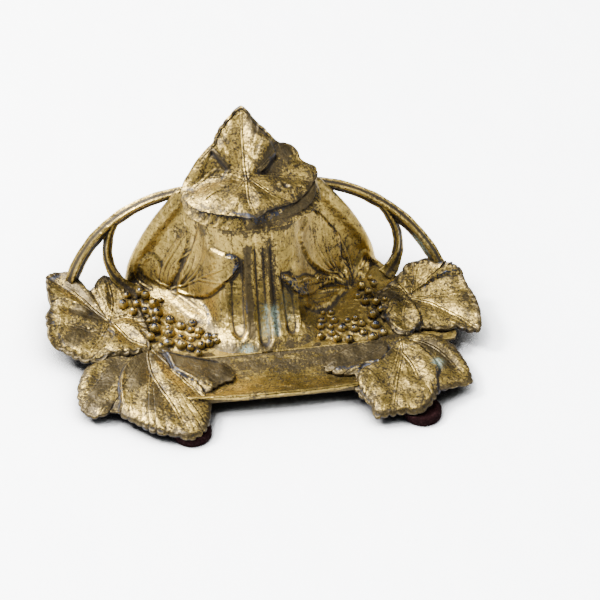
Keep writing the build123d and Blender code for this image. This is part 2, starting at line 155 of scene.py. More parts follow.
class Builder:
    """Collects closed patches of points and faces into one mesh, in millimetres."""

    def __init__(self):
        self.points = []
        self.faces = []
        self.count = 0

    def add(self, points, faces):
        points = np.asarray(points, float).reshape(-1, 3)
        self.points.append(points)
        self.faces.extend([[i + self.count for i in face] for face in faces])
        self.count += len(points)

    def quads(self, rows, cols, wrap):
        index = np.arange(rows * cols).reshape(rows, cols)
        right = np.roll(index, -1, axis=1) if wrap else index[:, 1:]
        left = index if wrap else index[:, :-1]
        return np.stack([left[:-1], right[:-1], right[1:], left[1:]], axis=-1).reshape(-1, 4).tolist()

    def edge_loop(self, rows, cols, wrap):
        index = np.arange(rows * cols).reshape(rows, cols)
        if wrap:
            return index[-1]
        return np.concatenate([index[0, :-1], index[:-1, -1], index[-1, :0:-1], index[:0:-1, 0]])

    def sheet(self, top, under, wrap=False, hole=False, rounding=0.5):
        """A closed sheet between two grids, with a rounded edge; a wrapped one has a middle or a hole."""
        rows, cols, _ = top.shape
        size = rows * cols
        upper, lower = top.reshape(-1, 3), under.reshape(-1, 3)
        points = [upper, lower]
        faces = self.quads(rows, cols, wrap)
        faces += [[i + size for i in face] for face in self.quads(rows, cols, wrap)]
        loops = [(self.edge_loop(rows, cols, wrap), 1)]
        if wrap and hole:
            loops.append((np.arange(cols), -1))
        start = 2 * size
        for loop, way in loops:
            count = len(loop)
            if wrap:
                inner = loop - way * cols
                outward = upper[loop] - upper[inner]
            else:
                near = np.pad(top[1:-1, 1:-1], ((1, 1), (1, 1), (0, 0)), mode="edge").reshape(-1, 3)
                outward = upper[loop] - near[loop]
            outward /= np.maximum(np.linalg.norm(outward, axis=1, keepdims=True), 1e-9)
            half = (upper[loop] - lower[loop]) / 2
            middle = (upper[loop] + lower[loop]) / 2
            reach = np.linalg.norm(half, axis=1, keepdims=True) * 2 * rounding
            rings = [loop.tolist()]
            for angle in (0.25, 0.5, 0.75):
                turn = angle * math.pi
                points.append(middle + half * math.cos(turn) + outward * reach * math.sin(turn))
                rings.append(list(range(start, start + count)))
                start += count
            rings.append((loop + size).tolist())
            for one, two in zip(rings, rings[1:]):
                for k in range(count):
                    n = (k + 1) % count
                    faces.append([one[k], two[k], two[n], one[n]])
        if wrap and not hole:
            points += [upper[:cols].mean(axis=0)[None], lower[:cols].mean(axis=0)[None]]
            for k in range(cols):
                n = (k + 1) % cols
                faces += [[start, n, k], [start + 1, size + k, size + n]]
        self.add(np.vstack(points), faces)

    def tube(self, rings, closed=False):
        """A closed bar through rings of points, capped at both ends or joined end to end."""
        rings = np.asarray(rings, float)
        rows, cols, _ = rings.shape
        faces = self.quads(rows, cols, True)
        if closed:
            last = (rows - 1) * cols
            faces += [[last + k, last + (k + 1) % cols, (k + 1) % cols, k] for k in range(cols)]
        else:
            faces += [list(range(cols)), list(range((rows - 1) * cols, rows * cols))]
        self.add(rings, faces)

    def lathe(self, profile, x, y, around):
        """A closed outline of (radius, height) turned about an upright axis."""
        turn = np.linspace(0, 2 * math.pi, around, endpoint=False)
        rings = [[(x + r * math.cos(a), y + r * math.sin(a), z) for a in turn] for r, z in profile]
        self.tube(rings, closed=True)

    def ball(self, centre, radii, around=22, rows=13):
        """A berry; radii are its half sizes along X, Y and Z."""
        lat = np.linspace(-math.pi / 2, math.pi / 2, rows + 1)[1:-1]
        lon = np.linspace(0, 2 * math.pi, around, endpoint=False)
        la, lo = np.meshgrid(lat, lon, indexing="ij")
        ring = np.stack([np.cos(la) * np.cos(lo), np.cos(la) * np.sin(lo), np.sin(la)], axis=-1)
        points = np.vstack([ring.reshape(-1, 3), [[0, 0, -1], [0, 0, 1]]]) * radii + centre
        count = len(lat)
        faces = self.quads(count, around, True)
        south, north = count * around, count * around + 1
        for k in range(around):
            n = (k + 1) % around
            faces += [[south, n, k], [north, (count - 1) * around + k, (count - 1) * around + n]]
        self.add(points, faces)

    def make(self, name, body, slot, *nodes):
        """The finished piece: it rides on a body and stands for CAD nodes, whose parts it hides; slot is
        not used.
        """
        mesh = bpy.data.meshes.new(name)
        mesh.from_pydata((np.vstack(self.points) * MM).tolist(), [], self.faces)
        shape = bmesh.new()
        shape.from_mesh(mesh)
        bmesh.ops.recalc_face_normals(shape, faces=shape.faces)
        shape.to_mesh(mesh)
        shape.free()
        mesh.shade_smooth()
        piece = bpy.data.objects.new(name, mesh)
        bpy.context.collection.objects.link(piece)
        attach(piece, body)
        if nodes:
            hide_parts(*nodes)
        return piece


# ---------------------------------------------------------------- wear, dirt and painted shade on the points
def painted(points, strokes):
    """A value from 0 to 1 that is high along any of the strokes (line of points, radius, strength)."""
    value = np.zeros(len(points))
    for line, radius, strength in strokes:
        line = np.array(line, float)
        size = line.shape[1]
        spots = points[:, :size]
        if len(line) == 1:
            away = np.linalg.norm(spots - line[0], axis=1)
        else:
            away = np.full(len(points), 1e9)
            for start, end in zip(line, line[1:]):
                run = end - start
                t = np.clip((spots - start) @ run / (run @ run), 0, 1)
                away = np.minimum(away, np.linalg.norm(spots - start - t[:, None] * run, axis=1))
        value = np.maximum(value, strength * np.exp(-((away / radius) ** 2)))
    return value


def age(piece, worn=(), green=(), dull=(), tops=0.0, shade=0.0, creased=1.0):
    """Writes how crested, creased, worn and verdigrised a piece is at each of its points, with painted
    shade on its steep and down-facing faces.
    """
    mesh = piece.data
    count = len(mesh.vertices)
    points = np.empty(count * 3)
    mesh.vertices.foreach_get("co", points)
    points = points.reshape(-1, 3) / MM
    normals = np.empty(count * 3)
    mesh.vertices.foreach_get("normal", normals)
    normals = normals.reshape(-1, 3)
    edges = np.empty(len(mesh.edges) * 2, np.int32)
    mesh.edges.foreach_get("vertices", edges)
    a, b = edges.reshape(-1, 2).T
    both, other = np.concatenate([a, b]), np.concatenate([b, a])
    degree = np.maximum(np.bincount(both, minlength=count), 1)
    blurred = points.copy()
    relief = np.zeros(count)
    for step in range(1, 25):
        sums = np.stack([np.bincount(both, blurred[other, k], count) for k in range(3)], axis=1)
        blurred = 0.4 * blurred + 0.6 * sums / degree[:, None]
        if step in (4, 10, 24):
            relief += np.einsum("ij,ij->i", points - blurred, normals) / (0.03 + 0.012 * step)
    wear_and_dark_tops = painted(points, worn)
    # Grape tops: rubbed wear on the upward-facing caps, which also stands for a painted dark reflection
    # there.
    if tops:
        cap = smooth_step((normals[:, 2] - 0.62) / 0.16) * (points[:, 2] > GRAPE_Z + 0.6)
        wear_and_dark_tops = np.maximum(wear_and_dark_tops, tops * cap)
    crease_dirt_and_shade = creased * np.clip(-relief / 3, 0, 1)
    # Painted shade: steep and down-facing faces are darkened as if in shade, kept in one layer with the
    # crease dirt.
    if shade:
        crease_dirt_and_shade = np.maximum(crease_dirt_and_shade, shade * smooth_step((0.4 - normals[:, 2]) / 0.35))
    layers = {
        "crest": np.clip(relief / 3, 0, 1),
        "crease_and_shade": crease_dirt_and_shade,
        "worn": wear_and_dark_tops,
        "green": painted(points, green),
        "dull": painted(points, dull),
    }
    for name, values in layers.items():
        layer = mesh.attributes.new(name, "FLOAT", "POINT")
        layer.data.foreach_set("value", values.astype(np.float32))


# ---------------------------------------------------------------- materials
class Nodes:
    """A short way to write a material's nodes."""

    def __init__(self, name):
        self.material = bpy.data.materials.new(name)
        self.material.use_nodes = True
        self.tree = self.material.node_tree
        self.shader = self.tree.nodes["Principled BSDF"]
        self.place = self.node("ShaderNodeTexCoord").outputs["Object"]

    def node(self, kind, **settings):
        node = self.tree.nodes.new(kind)
        for key, value in settings.items():
            setattr(node, key, value)
        return node

    def plug(self, socket, value):
        if isinstance(value, bpy.types.NodeSocket):
            self.tree.links.new(value, socket)
        else:
            socket.default_value = value

    def noise(self, scale, detail=4.0, rough=0.55, stretch=None):
        """Noise with about that many features per metre."""
        node = self.node("ShaderNodeTexNoise")
        self.plug(node.inputs["Vector"], self.stretched(stretch) if stretch else self.place)
        self.plug(node.inputs["Scale"], scale)
        self.plug(node.inputs["Detail"], detail)
        self.plug(node.inputs["Roughness"], rough)
        return node.outputs["Fac"]

    def stretched(self, factors):
        node = self.node("ShaderNodeVectorMath", operation="MULTIPLY")
        self.plug(node.inputs[0], self.place)
        self.plug(node.inputs[1], factors)
        return node.outputs[0]

    def sheltered(self, distance):
        """High where other surfaces lie close by, as in a hollow."""
        node = self.node("ShaderNodeAmbientOcclusion", samples=6)
        self.plug(node.inputs["Distance"], distance)
        return self.math("SUBTRACT", 1.0, node.outputs["AO"])

    def attribute(self, name):
        return self.node("ShaderNodeAttribute", attribute_name=name).outputs["Fac"]

    def math(self, operation, a, b):
        node = self.node("ShaderNodeMath", operation=operation, use_clamp=True)
        self.plug(node.inputs[0], a)
        self.plug(node.inputs[1], b)
        return node.outputs[0]

    def ramp(self, value, low, high, to_low=0.0, to_high=1.0):
        node = self.node("ShaderNodeMapRange", interpolation_type="SMOOTHSTEP")
        self.plug(node.inputs["Value"], value)
        limits = {"From Min": low, "From Max": high, "To Min": to_low, "To Max": to_high}
        for socket, number in limits.items():
            self.plug(node.inputs[socket], number)
        return node.outputs["Result"]

    def mix(self, factor, a, b):
        node = self.node("ShaderNodeMix", data_type="RGBA")
        self.plug(node.inputs[0], factor)
        self.plug(node.inputs[6], a)
        self.plug(node.inputs[7], b)
        return node.outputs[2]

    def blend(self, factor, a, b):
        node = self.node("ShaderNodeMix", data_type="FLOAT")
        self.plug(node.inputs[0], factor)
        self.plug(node.inputs[2], a)
        self.plug(node.inputs[3], b)
        return node.outputs[0]

    def bump(self, height, strength, distance, after=None):
        node = self.node("ShaderNodeBump")
        self.plug(node.inputs["Height"], height)
        self.plug(node.inputs["Strength"], strength)
        self.plug(node.inputs["Distance"], distance)
        if after is not None:
            self.plug(node.inputs["Normal"], after)
        return node.outputs["Normal"]


GOLD_BRIGHT = (0.63, 0.45, 0.135, 1)
GOLD_PALE = (0.43, 0.305, 0.078, 1)
GOLD_DEEP = (0.24, 0.17, 0.044, 1)
# Tarnish, also used for the painted shade and shadow in some dull strokes.
TARNISH_AND_SHADE = (0.028, 0.022, 0.014, 1)
# Brown for dirt in the creases and for painted shade on steep and down-facing faces.
DIRT_AND_SHADE_BROWN = (0.01, 0.007, 0.005, 1)
WORN_GREY = (0.035, 0.04, 0.058, 1)
VERDIGRIS = (0.27, 0.37, 0.3, 1)


def gilt(name, mottled, dark=0.0, matte=0.0, streaks=(1.0, 1.0, 1.0)):
    """Old gilding over dark metal: rubbed grey on the crests, brown in the creases, brighter gold on the
    crests as polish and painted highlight, and painted shade in brown and tarnish where the crease and dull
    layers carry it.

    mottled sets how patchy the tarnish is, dark adds to it, matte adds roughness, and streaks
    stretches the finest rubbing along the directions whose factor is small.
    """
    n = Nodes(name)
    broad = n.noise(55, 3.0)
    patch = n.noise(190, 7.0, 0.7)
    speckle = n.noise(1100, 5.0, 0.75)
    grain = n.noise(2600, 3.0, 0.6)
    crest, crease_and_shade = n.attribute("crest"), n.attribute("crease_and_shade")
    sheltered = n.sheltered(0.007)
    colour = n.mix(n.ramp(broad, 0.38, 0.62), GOLD_PALE, GOLD_DEEP)
    # Crests and rubbed streaks are lightened to bright gold: polished gilding, with a painted highlight on
    # the crests.
    polish_and_highlight = n.math("MULTIPLY", n.ramp(crest, 0.3, 0.9), n.ramp(speckle, 0.45, 0.6))
    polish_and_highlight = n.math("MAXIMUM", polish_and_highlight, n.ramp(n.noise(700, 5.0, 0.65, streaks), 0.53, 0.66))
    colour = n.mix(polish_and_highlight, colour, GOLD_BRIGHT)
    cover = n.math("ADD", n.math("MULTIPLY", patch, 0.42), n.math("MULTIPLY", speckle, 0.58))
    rubbing = n.noise(800, 5.0, 0.65, streaks)
    cover = n.math("ADD", cover, n.ramp(rubbing, 0.35, 0.65, -0.03, 0.05))
    # The dull layer adds tarnish; on the bell, channel and lid some of its strokes are painted shade and
    # painted shadow.
    cover = n.math("ADD", cover, n.math("MULTIPLY", n.attribute("dull"), 0.18))
    cover = n.math("ADD", cover, n.math("MULTIPLY", sheltered, 0.14))
    cover = n.math("ADD", cover, dark)
    spots = n.ramp(cover, 0.555 - 0.055 * mottled, 0.625 - 0.045 * mottled)
    colour = n.mix(n.math("MULTIPLY", spots, 0.88), colour, TARNISH_AND_SHADE)
    fine = n.math("MULTIPLY", n.ramp(speckle, 0.5, 0.6), 0.3 + 0.45 * mottled)
    colour = n.mix(fine, colour, TARNISH_AND_SHADE)
    # Brown where the crease layer is high, which holds crease dirt and painted shade, and where other
    # surfaces lie close by.
    dirt_and_shade = n.math("ADD", crease_and_shade, n.math("MULTIPLY", sheltered, 0.5))
    dirt_and_shade = n.ramp(n.math("ADD", dirt_and_shade, n.math("MULTIPLY", patch, 0.3)), 0.3, 0.85)
    colour = n.mix(n.math("MULTIPLY", dirt_and_shade, 0.94), colour, DIRT_AND_SHADE_BROWN)
    rubbed = n.math("MULTIPLY", crest, n.ramp(patch, 0.45, 0.68, 0.0, 0.7))
    # The worn layer is rubbed wear; on grape tops it also stands for a painted dark reflection.
    rubbed = n.math("ADD", rubbed, n.math("MULTIPLY", n.attribute("worn"), n.ramp(speckle, 0.36, 0.56)))
    rubbed = n.ramp(rubbed, 0.35, 0.8)
    colour = n.mix(rubbed, colour, WORN_GREY)
    green = n.math("MULTIPLY", n.attribute("green"), n.ramp(speckle, 0.4, 0.56))
    colour = n.mix(green, colour, VERDIGRIS)
    n.plug(n.shader.inputs["Base Color"], colour)
    rough = n.blend(rubbed, n.ramp(patch, 0.3, 0.7, 0.27 + matte, 0.42 + matte), 0.26)
    n.plug(n.shader.inputs["Roughness"], n.blend(dirt_and_shade, n.blend(spots, rough, 0.46), 0.6))
    metal = n.blend(dirt_and_shade, n.blend(spots, 0.97, 0.8), 0.5)
    n.plug(n.shader.inputs["Metallic"], n.blend(green, metal, 0.0))
    relief = n.bump(n.noise(560, 3.2, 0.55), 0.3, 0.0014)
    n.plug(n.shader.inputs["Normal"], n.bump(grain, 0.22, 0.0001, relief))
    return n.material


def plain_metal(name, light, deep, rough, scratch):
    """Machined metal with fine marks along X, dulled in patches."""
    n = Nodes(name)
    patch = n.noise(220, 5.0, 0.6)
    lines = n.noise(2600, 2.0, 0.5, (0.06, 1.0, 1.0))
    n.plug(n.shader.inputs["Base Color"], n.mix(n.ramp(patch, 0.4, 0.66), light, deep))
    n.plug(n.shader.inputs["Roughness"], n.ramp(patch, 0.35, 0.7, rough, rough + 0.2))
    n.plug(n.shader.inputs["Normal"], n.bump(lines, scratch, 0.0001))
    n.shader.inputs["Metallic"].default_value = 1.0
    return n.material


def pot_glass(name):
    """Slightly green moulded glass with a dry ink film low down."""
    n = Nodes(name)
    height = n.node("ShaderNodeSeparateXYZ")
    n.plug(height.inputs[0], n.place)
    stain = n.math("MULTIPLY", n.ramp(height.outputs["Z"], 0.026, 0.034, 1.0, 0.0), n.noise(300, 4.0))
    n.plug(n.shader.inputs["Base Color"], n.mix(stain, (0.86, 0.93, 0.9, 1), (0.03, 0.035, 0.09, 1)))
    n.plug(n.shader.inputs["Roughness"], n.ramp(n.noise(260, 3.0), 0.3, 0.7, 0.06, 0.16))
    n.plug(n.shader.inputs["Normal"], n.bump(n.noise(180, 2.0), 0.15, 0.0004))
    n.shader.inputs["Transmission Weight"].default_value = 0.85
    n.shader.inputs["IOR"].default_value = 1.5
    return n.material


def felt(name):
    """Pressed dark maroon felt with loose fibres."""
    n = Nodes(name)
    fibres = n.noise(5200, 5.0, 0.75)
    clumps = n.noise(900, 4.0, 0.6)
    colour = n.mix(n.ramp(fibres, 0.38, 0.66), (0.002, 0.0006, 0.0008, 1), (0.02, 0.005, 0.006, 1))
    n.plug(n.shader.inputs["Base Color"], n.mix(n.ramp(clumps, 0.5, 0.75), colour, (0.03, 0.013, 0.014, 1)))
    n.plug(n.shader.inputs["Normal"], n.bump(fibres, 0.9, 0.0004, n.bump(clumps, 0.5, 0.0005)))
    n.plug(n.shader.inputs["Roughness"], n.ramp(clumps, 0.3, 0.7, 0.9, 1.0))
    n.shader.inputs["Specular IOR Level"].default_value = 0.06
    return n.material


def floor_paper(name):
    """White painted board with faint scuffs, glowing white for the camera; a painted shadow darkens it and
    dims the glow where the object stands close above.
    """
    n = Nodes(name)
    scuffs = n.noise(60, 8.0, 0.75, (1.0, 0.35, 1.0))
    under = n.sheltered(0.08)
    colour = n.mix(n.ramp(scuffs, 0.35, 0.7), (0.86, 0.88, 0.91, 1), (0.93, 0.94, 0.96, 1))
    # Painted shadow: the board's colour turns near black under and beside the object.
    n.plug(n.shader.inputs["Base Color"], n.mix(n.ramp(under, 0.22, 0.7), colour, (0.05, 0.05, 0.055, 1)))
    n.plug(n.shader.inputs["Normal"], n.bump(n.noise(700, 6.0, 0.7), 0.35, 0.0006))
    n.plug(n.shader.inputs["Roughness"], n.ramp(scuffs, 0.3, 0.7, 0.7, 0.85))
    n.shader.inputs["Emission Color"].default_value = (0.96, 0.98, 1.0, 1)
    # The glow lights the board for camera rays only and fades out in the painted shadow.
    glow_with_painted_shadow = n.ramp(under, 0.0, 0.42, 4.9, 0.0)
    seen = n.node("ShaderNodeLightPath").outputs["Is Camera Ray"]
    n.plug(n.shader.inputs["Emission Strength"], n.blend(seen, 0.3, glow_with_painted_shadow))
    return n.material


# ---------------------------------------------------------------- relief helpers
def ridge(distance, width):
    return np.exp(-((distance / width) ** 2))


def near(x, y, line, reach):
    """Which points lie within reach of a line's own extent."""
    line = np.array(line)
    low, high = line.min(axis=0) - reach, line.max(axis=0) + reach
    return (x > low[0]) & (x < high[0]) & (y > low[1]) & (y < high[1])


def raised(x, y, outline, height, edge, curl, tooth):
    """Relief of a low lobe with a crisp edge; curl lifts its margin."""
    line, _ = toothed(spline(outline, 150, closed=True), 3.2, tooth, outline[0][0])
    close = near(x, y, line, 3)
    depth = inside_distance(x[close], y[close], line)
    relief = np.zeros(x.shape)
    lift = smooth_step(depth / edge + 0.5)
    relief[close] = lift * (height + curl * ridge(depth - 0.9, 1.1))
    return relief


def scored(x, y, line, height, width, groove):
    """Relief of a vein: a fine raised line between two grooves, fading to its tip."""
    path = spline(line, 24)
    close = near(x, y, path, 6 * width)
    away, _, along = line_distance(x[close], y[close], path)
    relief = np.zeros(x.shape)
    trough = ridge(away - 2.0 * width, 0.9 * width)
    relief[close] = (1 - 0.6 * along) * (height * ridge(away, width) - groove * trough)
    return relief


def folded(x, y, line, height, reach):
    """Relief of a margin that laps over: a step at the line, sinking again over its reach."""
    away, side, along = line_distance(x, y, spline(line, 40))
    taper = smooth_step(along / 0.12) * smooth_step((1 - along) / 0.12)
    up = smooth_step(side / 0.9 + 0.5) * np.exp(-np.clip(side, 0, None) / reach)
    down = -0.35 * ridge(side + 0.9, 0.8)
    return taper * height * (up + down) * (away < 5 * reach)


# ---------------------------------------------------------------- bell
# Each level: how far up the slope, height, half width, (half width, y) of the hollow, the
# column's shoulder and its corner, and the column's front.
BELL_LEVELS = [
    (0.0, 8.1, 56.5, [(42, 14), (30, -4), (19, -16.5)], -19.6),
    (4.0, 10.0, 54.8, [(37.5, 19), (25.5, 3), (17, -12.5)], -17),
    (14.0, 16.0, 53.0, [(35, 24), (22.5, 10), (16, -3.5)], -9),
    (28.0, 28.0, 48.0, [(33, 27), (22, 16), (15.5, 4)], -1),
    (43.0, 42.0, 39.5, [(29, 29.5), (21, 20), (15, 9)], 4),
    (56.0, NECK_TOP, 29.5, [(25, 31), (20, 21.5), (14, 12)], 7),
]
RIM_Y = 33.0
BELL_WALL = 2.2
LEAN = math.radians(39.5)


def natural(knots, values, at):
    """A natural cubic through values at the knots; values may have further axes."""
    knots, values = np.array(knots, float), np.array(values, float)
    count = len(knots)
    gaps = np.diff(knots)
    rows = values.reshape(count, -1)
    system = np.eye(count)
    target = np.zeros_like(rows)
    for i in range(1, count - 1):
        system[i, i - 1:i + 2] = gaps[i - 1], 2 * (gaps[i - 1] + gaps[i]), gaps[i]
        target[i] = 6 * ((rows[i + 1] - rows[i]) / gaps[i] - (rows[i] - rows[i - 1]) / gaps[i - 1])
    bend = np.linalg.solve(system, target)
    i = np.clip(np.searchsorted(knots, at) - 1, 0, count - 2)
    gap = gaps[i][:, None]
    before, after = (knots[i + 1] - at)[:, None], (at - knots[i])[:, None]
    out = bend[i] * before ** 3 / (6 * gap) + bend[i + 1] * after ** 3 / (6 * gap)
    out += (rows[i] / gap - bend[i] * gap / 6) * before
    out += (rows[i + 1] / gap - bend[i + 1] * gap / 6) * after
    return out.reshape((len(at),) + values.shape[1:])


def bell_grid(rows, cols):
    lines = []
    for _, z, half_width, hollow, front in BELL_LEVELS:
        right = [(half_width, RIM_Y), *hollow]
        left = [(-x, y) for x, y in right]
        lines.append([(AXIS_X + x, y, z) for x, y in [*left, (0, front), *right[::-1]]])
    across = np.linspace(0, 8, cols)
    stations = np.stack([natural(range(9), line, across) for line in lines])
    return natural([level[0] for level in BELL_LEVELS], stations, np.linspace(0, 56, rows))


# Flutes: x from the axis, half width, lowest and highest end, depth.
FLUTES = [(-10.3, 3.7, 10.8, 41, 1.5), (0.4, 3.1, 8.6, 48, 1.5), (5.9, 1.2, 11, 47, 0.9),
          (12.6, 3.2, 10.2, 36, 1.4)]


def flute_relief(x, z):
    depth = np.zeros(x.shape)
    for middle, half, low, high, deep in FLUTES:
        lean = middle * (1 - 0.004 * (z - low))
        past = np.clip(low + half - z, 0, None) + np.clip(z - high, 0, None)
        away = np.hypot(x - lean, past)
        bowl = 0.75 * smooth_step((half - away) / 1.5) + 0.25 * np.clip(1 - (away / half) ** 2, 0, 1)
        fade = 1 - smooth_step((z - high + 8) / 10)
        depth = depth + fade * (0.1 * ridge(away - half - 0.4, 0.5) - deep * bowl)
    return depth


# Low relief leaves, laid out on a plane that leans back: each lobe is its outline (x from the
# axis, up the plane), its height and how far its margin curls up.
LEFT_LOBES = [
    ([(-37, 23.5), (-44.5, 28.5), (-47.8, 33), (-46, 37.5), (-42, 38.5), (-39.5, 35.5),
      (-38.5, 31)], 0.7, 0.25),
    ([(-37, 24.5), (-39.5, 30), (-36.5, 37), (-31, 44), (-27.5, 48), (-27, 42), (-30, 36),
      (-33, 29)], 0.8, 0.25),
    ([(-33, 21), (-30, 31), (-25, 40), (-22, 48), (-20, 51), (-18.5, 45), (-17.5, 38), (-15, 36.5),
      (-12, 34.6), (-9.2, 33.4), (-8.2, 30), (-9.8, 27), (-12.6, 24.4), (-16.5, 21.5), (-20, 19),
      (-25, 18.6), (-30, 19.6)], 1.3, 0.4),
    ([(-35, 19), (-30, 20.8), (-26, 18.8), (-22.5, 15.4), (-21, 11.5), (-22, 8), (-26, 9),
      (-32, 14)], 0.4, 0.1),
]
LEFT_VEINS = [
    [(-36.5, 24), (-39, 27.5), (-38, 32), (-34, 38), (-30, 43.5), (-28, 46.5)],
    [(-36, 24.5), (-34.5, 31.5), (-31, 35.5), (-26.5, 38)],
    [(-36.5, 24), (-41.5, 28), (-42.5, 32.5), (-42, 36.5)],
    [(-36, 23.5), (-29.5, 24.5), (-23, 26.5), (-13, 30)],
    [(-29.5, 24.5), (-24, 29.5), (-20.5, 36), (-19.5, 44)],
    [(-23, 26), (-18, 24.5), (-15, 24)],
    [(-35, 22), (-30, 18), (-25.5, 14), (-23, 11)],
    [(-44, 24), (-49, 28), (-50, 34)],
    [(-31, 26), (-27, 31), (-24.5, 38), (-23.5, 44)],
]
RIGHT_LOBES = [
    ([(23, 51), (21.5, 46), (18, 41), (19.6, 35.5), (22.5, 30), (28.5, 25), (35, 20.5), (40, 18.5),
      (41.5, 24), (38, 30.5), (37.5, 38), (33, 45), (28, 50)], 1.0, 0.4),
    ([(9.6, 24.4), (13, 19.5), (17.5, 15), (22, 15.5), (28, 18.2), (34, 19.5), (34, 21.6), (27.5, 24),
      (24, 22.8), (20, 23.8), (16.5, 22.8), (13.5, 24)], 1.4, 0.5),
    ([(18.2, 15.2), (18.8, 11.6), (24, 9), (30.5, 10.5), (35.5, 14.5), (39, 17), (30, 18),
      (22, 17)], 1.0, 0.4),
    ([(45, 24), (46.5, 30), (49.5, 33), (52, 30), (51, 24), (48, 21)], 0.6, 0.3),
]
RIGHT_VEINS = [
    [(41, 17), (42, 23), (38, 30.5), (37.5, 39), (33, 44.5)],
    [(41, 17.5), (36, 24), (30, 30), (26, 38), (25, 46)],
    [(36, 24), (30, 25.5), (25, 29)],
    [(41, 17), (36, 18.5), (28, 21), (17, 20)],
    [(40, 16.5), (34, 14), (27, 12.5), (21, 13)],
    [(37.5, 30.5), (41, 27.5), (42, 23)],
    [(42, 17), (46, 22), (49, 28)],
    [(38, 22), (33, 30), (30.5, 39), (29, 47)],
    [(43, 24), (41, 32), (37, 41)],
    [(40, 16), (33, 16.4), (26, 16)],
]


def bell_relief(grid):
    x = grid[..., 0] - AXIS_X
    y, z = grid[..., 1], grid[..., 2]
    up = y * math.sin(LEAN) + z * math.cos(LEAN)
    lobes = np.zeros(x.shape)
    for outline, lift, curl in LEFT_LOBES + RIGHT_LOBES:
        lobes = np.maximum(lobes, raised(x, up, outline, 0.85 * lift, 1.7, 0.7 * curl, 0.5))
    height = lobes + flute_relief(x, z) * (1 - smooth_step(lobes / 0.8))
    for line in LEFT_VEINS + RIGHT_VEINS:
        height = height + scored(x, up, line, 0.35, 0.4, 0.18)
    hatch = (x > 18) & (x < 34) & (np.abs(up - 22 + 0.04 * (x - 26) ** 2) < 1.2)
    height = height + hatch * 0.25 * np.sin(x * 4.2)
    height = height + 0.12 * ripple(x, up, 14, 1) + 0.05 * ripple(x, up, 5, 2)
    edge = RIM_Y - y
    bead = (1.3 * ridge(edge - 0.7, 0.9) - 0.15 * ridge(edge - 2.6, 0.8)) * (np.abs(x) > 28)
    return height + bead


def make_bell():
    rows, cols = int(146 * FINE), int(322 * FINE)
    base = bell_grid(rows, cols)
    normal = grid_normals(base, False)
    top = base + normal * bell_relief(base)[..., None]
    under = base - normal * BELL_WALL
    build = Builder()
    build.sheet(top, under, rounding=0.4)
    bell = build.make("bell_front", "stand", "gilt_brass", "well_housing")
    lean = math.sin(LEAN), math.cos(LEAN)

    def spot(x, up, y):
        return (AXIS_X + x, y, (up - y * lean[0]) / lean[1])

    age(
        bell,
        creased=0.65,
        worn=[
            ([spot(-12, 34.5, 6), spot(-9, 33, 4), spot(-9, 27.5, 2), spot(-12.8, 24, 2)], 1.5, 0.95),
            ([spot(-22.5, 15, 8), spot(-21.3, 11.5, 3), spot(-22, 8, -1)], 1.5, 0.9),
            ([spot(11, 23.5, 2), spot(14, 20, 1), spot(18, 17, 1.5), spot(20, 18.5, 4)], 2.6, 1.0),
            ([spot(20, 23.4, 8), spot(27, 23.6, 15), spot(33.5, 21.3, 20)], 0.8, 0.8),
            ([spot(7.8, -2, -11), spot(17, -3, -13), spot(19, 1, -9)], 3.5, 0.75),
        ],
        dull=[
            # Painted dark reflection and shade, over tarnish, on two strips down the column in and between
            # the flutes.
            ([(AXIS_X - 4.9, -13, 12), (AXIS_X - 4.9, -1.5, 26), (AXIS_X - 4.5, 4.5, 43)], 1.8, 1.5),
            ([(AXIS_X + 5.4, -11, 13), (AXIS_X + 5.2, -1.5, 26), (AXIS_X + 4.8, 4.5, 43)], 1.4, 1.4),
            ([(AXIS_X + 4.5, 1, 32), (AXIS_X + 4, 4.5, 45)], 3.4, 0.8),
            ([(AXIS_X - 20, -14, 8.6), (AXIS_X - 5, -18, 8.6), (AXIS_X + 18, -16, 8.6)], 3.4, 0.7),
            # Painted shadow under the lid: a patch at its left and a band across the bell below it.
            ([(AXIS_X - 23, 24, 46), (AXIS_X - 19, 18, 44)], 3.5, 0.75),
            ([(AXIS_X - 20, 20, 51), (AXIS_X - 12, 9, 51), (AXIS_X + 12, 9, 51),
              (AXIS_X + 20, 20, 51)], 3, 1.0),
            ([(AXIS_X - 31, 2, 13), (AXIS_X - 22, -5, 12)], 5, 0.75),
            # Tarnish with painted shade on the right wing, which is turned away from the light.
            ([(AXIS_X + 24, 24, 46), (AXIS_X + 33, 28, 30), (AXIS_X + 40, 27, 18)], 5, 0.25),
            ([(AXIS_X - 31, 28, 36), (AXIS_X - 28, 26, 44)], 4, 0.4),
        ],
        green=[
            ([(AXIS_X - 7.5, -18.6, 8.6)], 2.3, 1.0),
            ([(AXIS_X + 0.5, -12.5, 12.5), (AXIS_X + 1.8, -5, 19)], 1.6, 0.75),
            ([(AXIS_X + 4.8, -12.5, 13), (AXIS_X + 5.4, -6, 19)], 1.8, 0.8),
            ([(AXIS_X + 12, -8, 16), (AXIS_X + 11.6, -3, 22.5)], 2.2, 0.85),
        ],
    )
    return bell


# ---------------------------------------------------------------- well behind the bell
def ray_reach(outline, x, y, angles):
    """How far an outline lies from x, y at each angle."""
    pts = np.array(outline, float)
    reach = np.zeros(len(angles))
    for i, angle in enumerate(angles):
        dx, dy = math.cos(angle), math.sin(angle)
        a = pts - (x, y)
        b = np.roll(a, -1, axis=0)
        ca, cb = dx * a[:, 1] - dy * a[:, 0], dx * b[:, 1] - dy * b[:, 0]
        hit = (ca > 0) != (cb > 0)
        t = ca[hit] / (ca[hit] - cb[hit])
        ends = a[hit] + t[:, None] * (b[hit] - a[hit])
        along = ends @ (dx, dy)
        reach[i] = along.max()
    return reach


CUP_RADIUS = 22.5
HOLE_RADIUS = 17.2
TOP_PLATE = 2.4


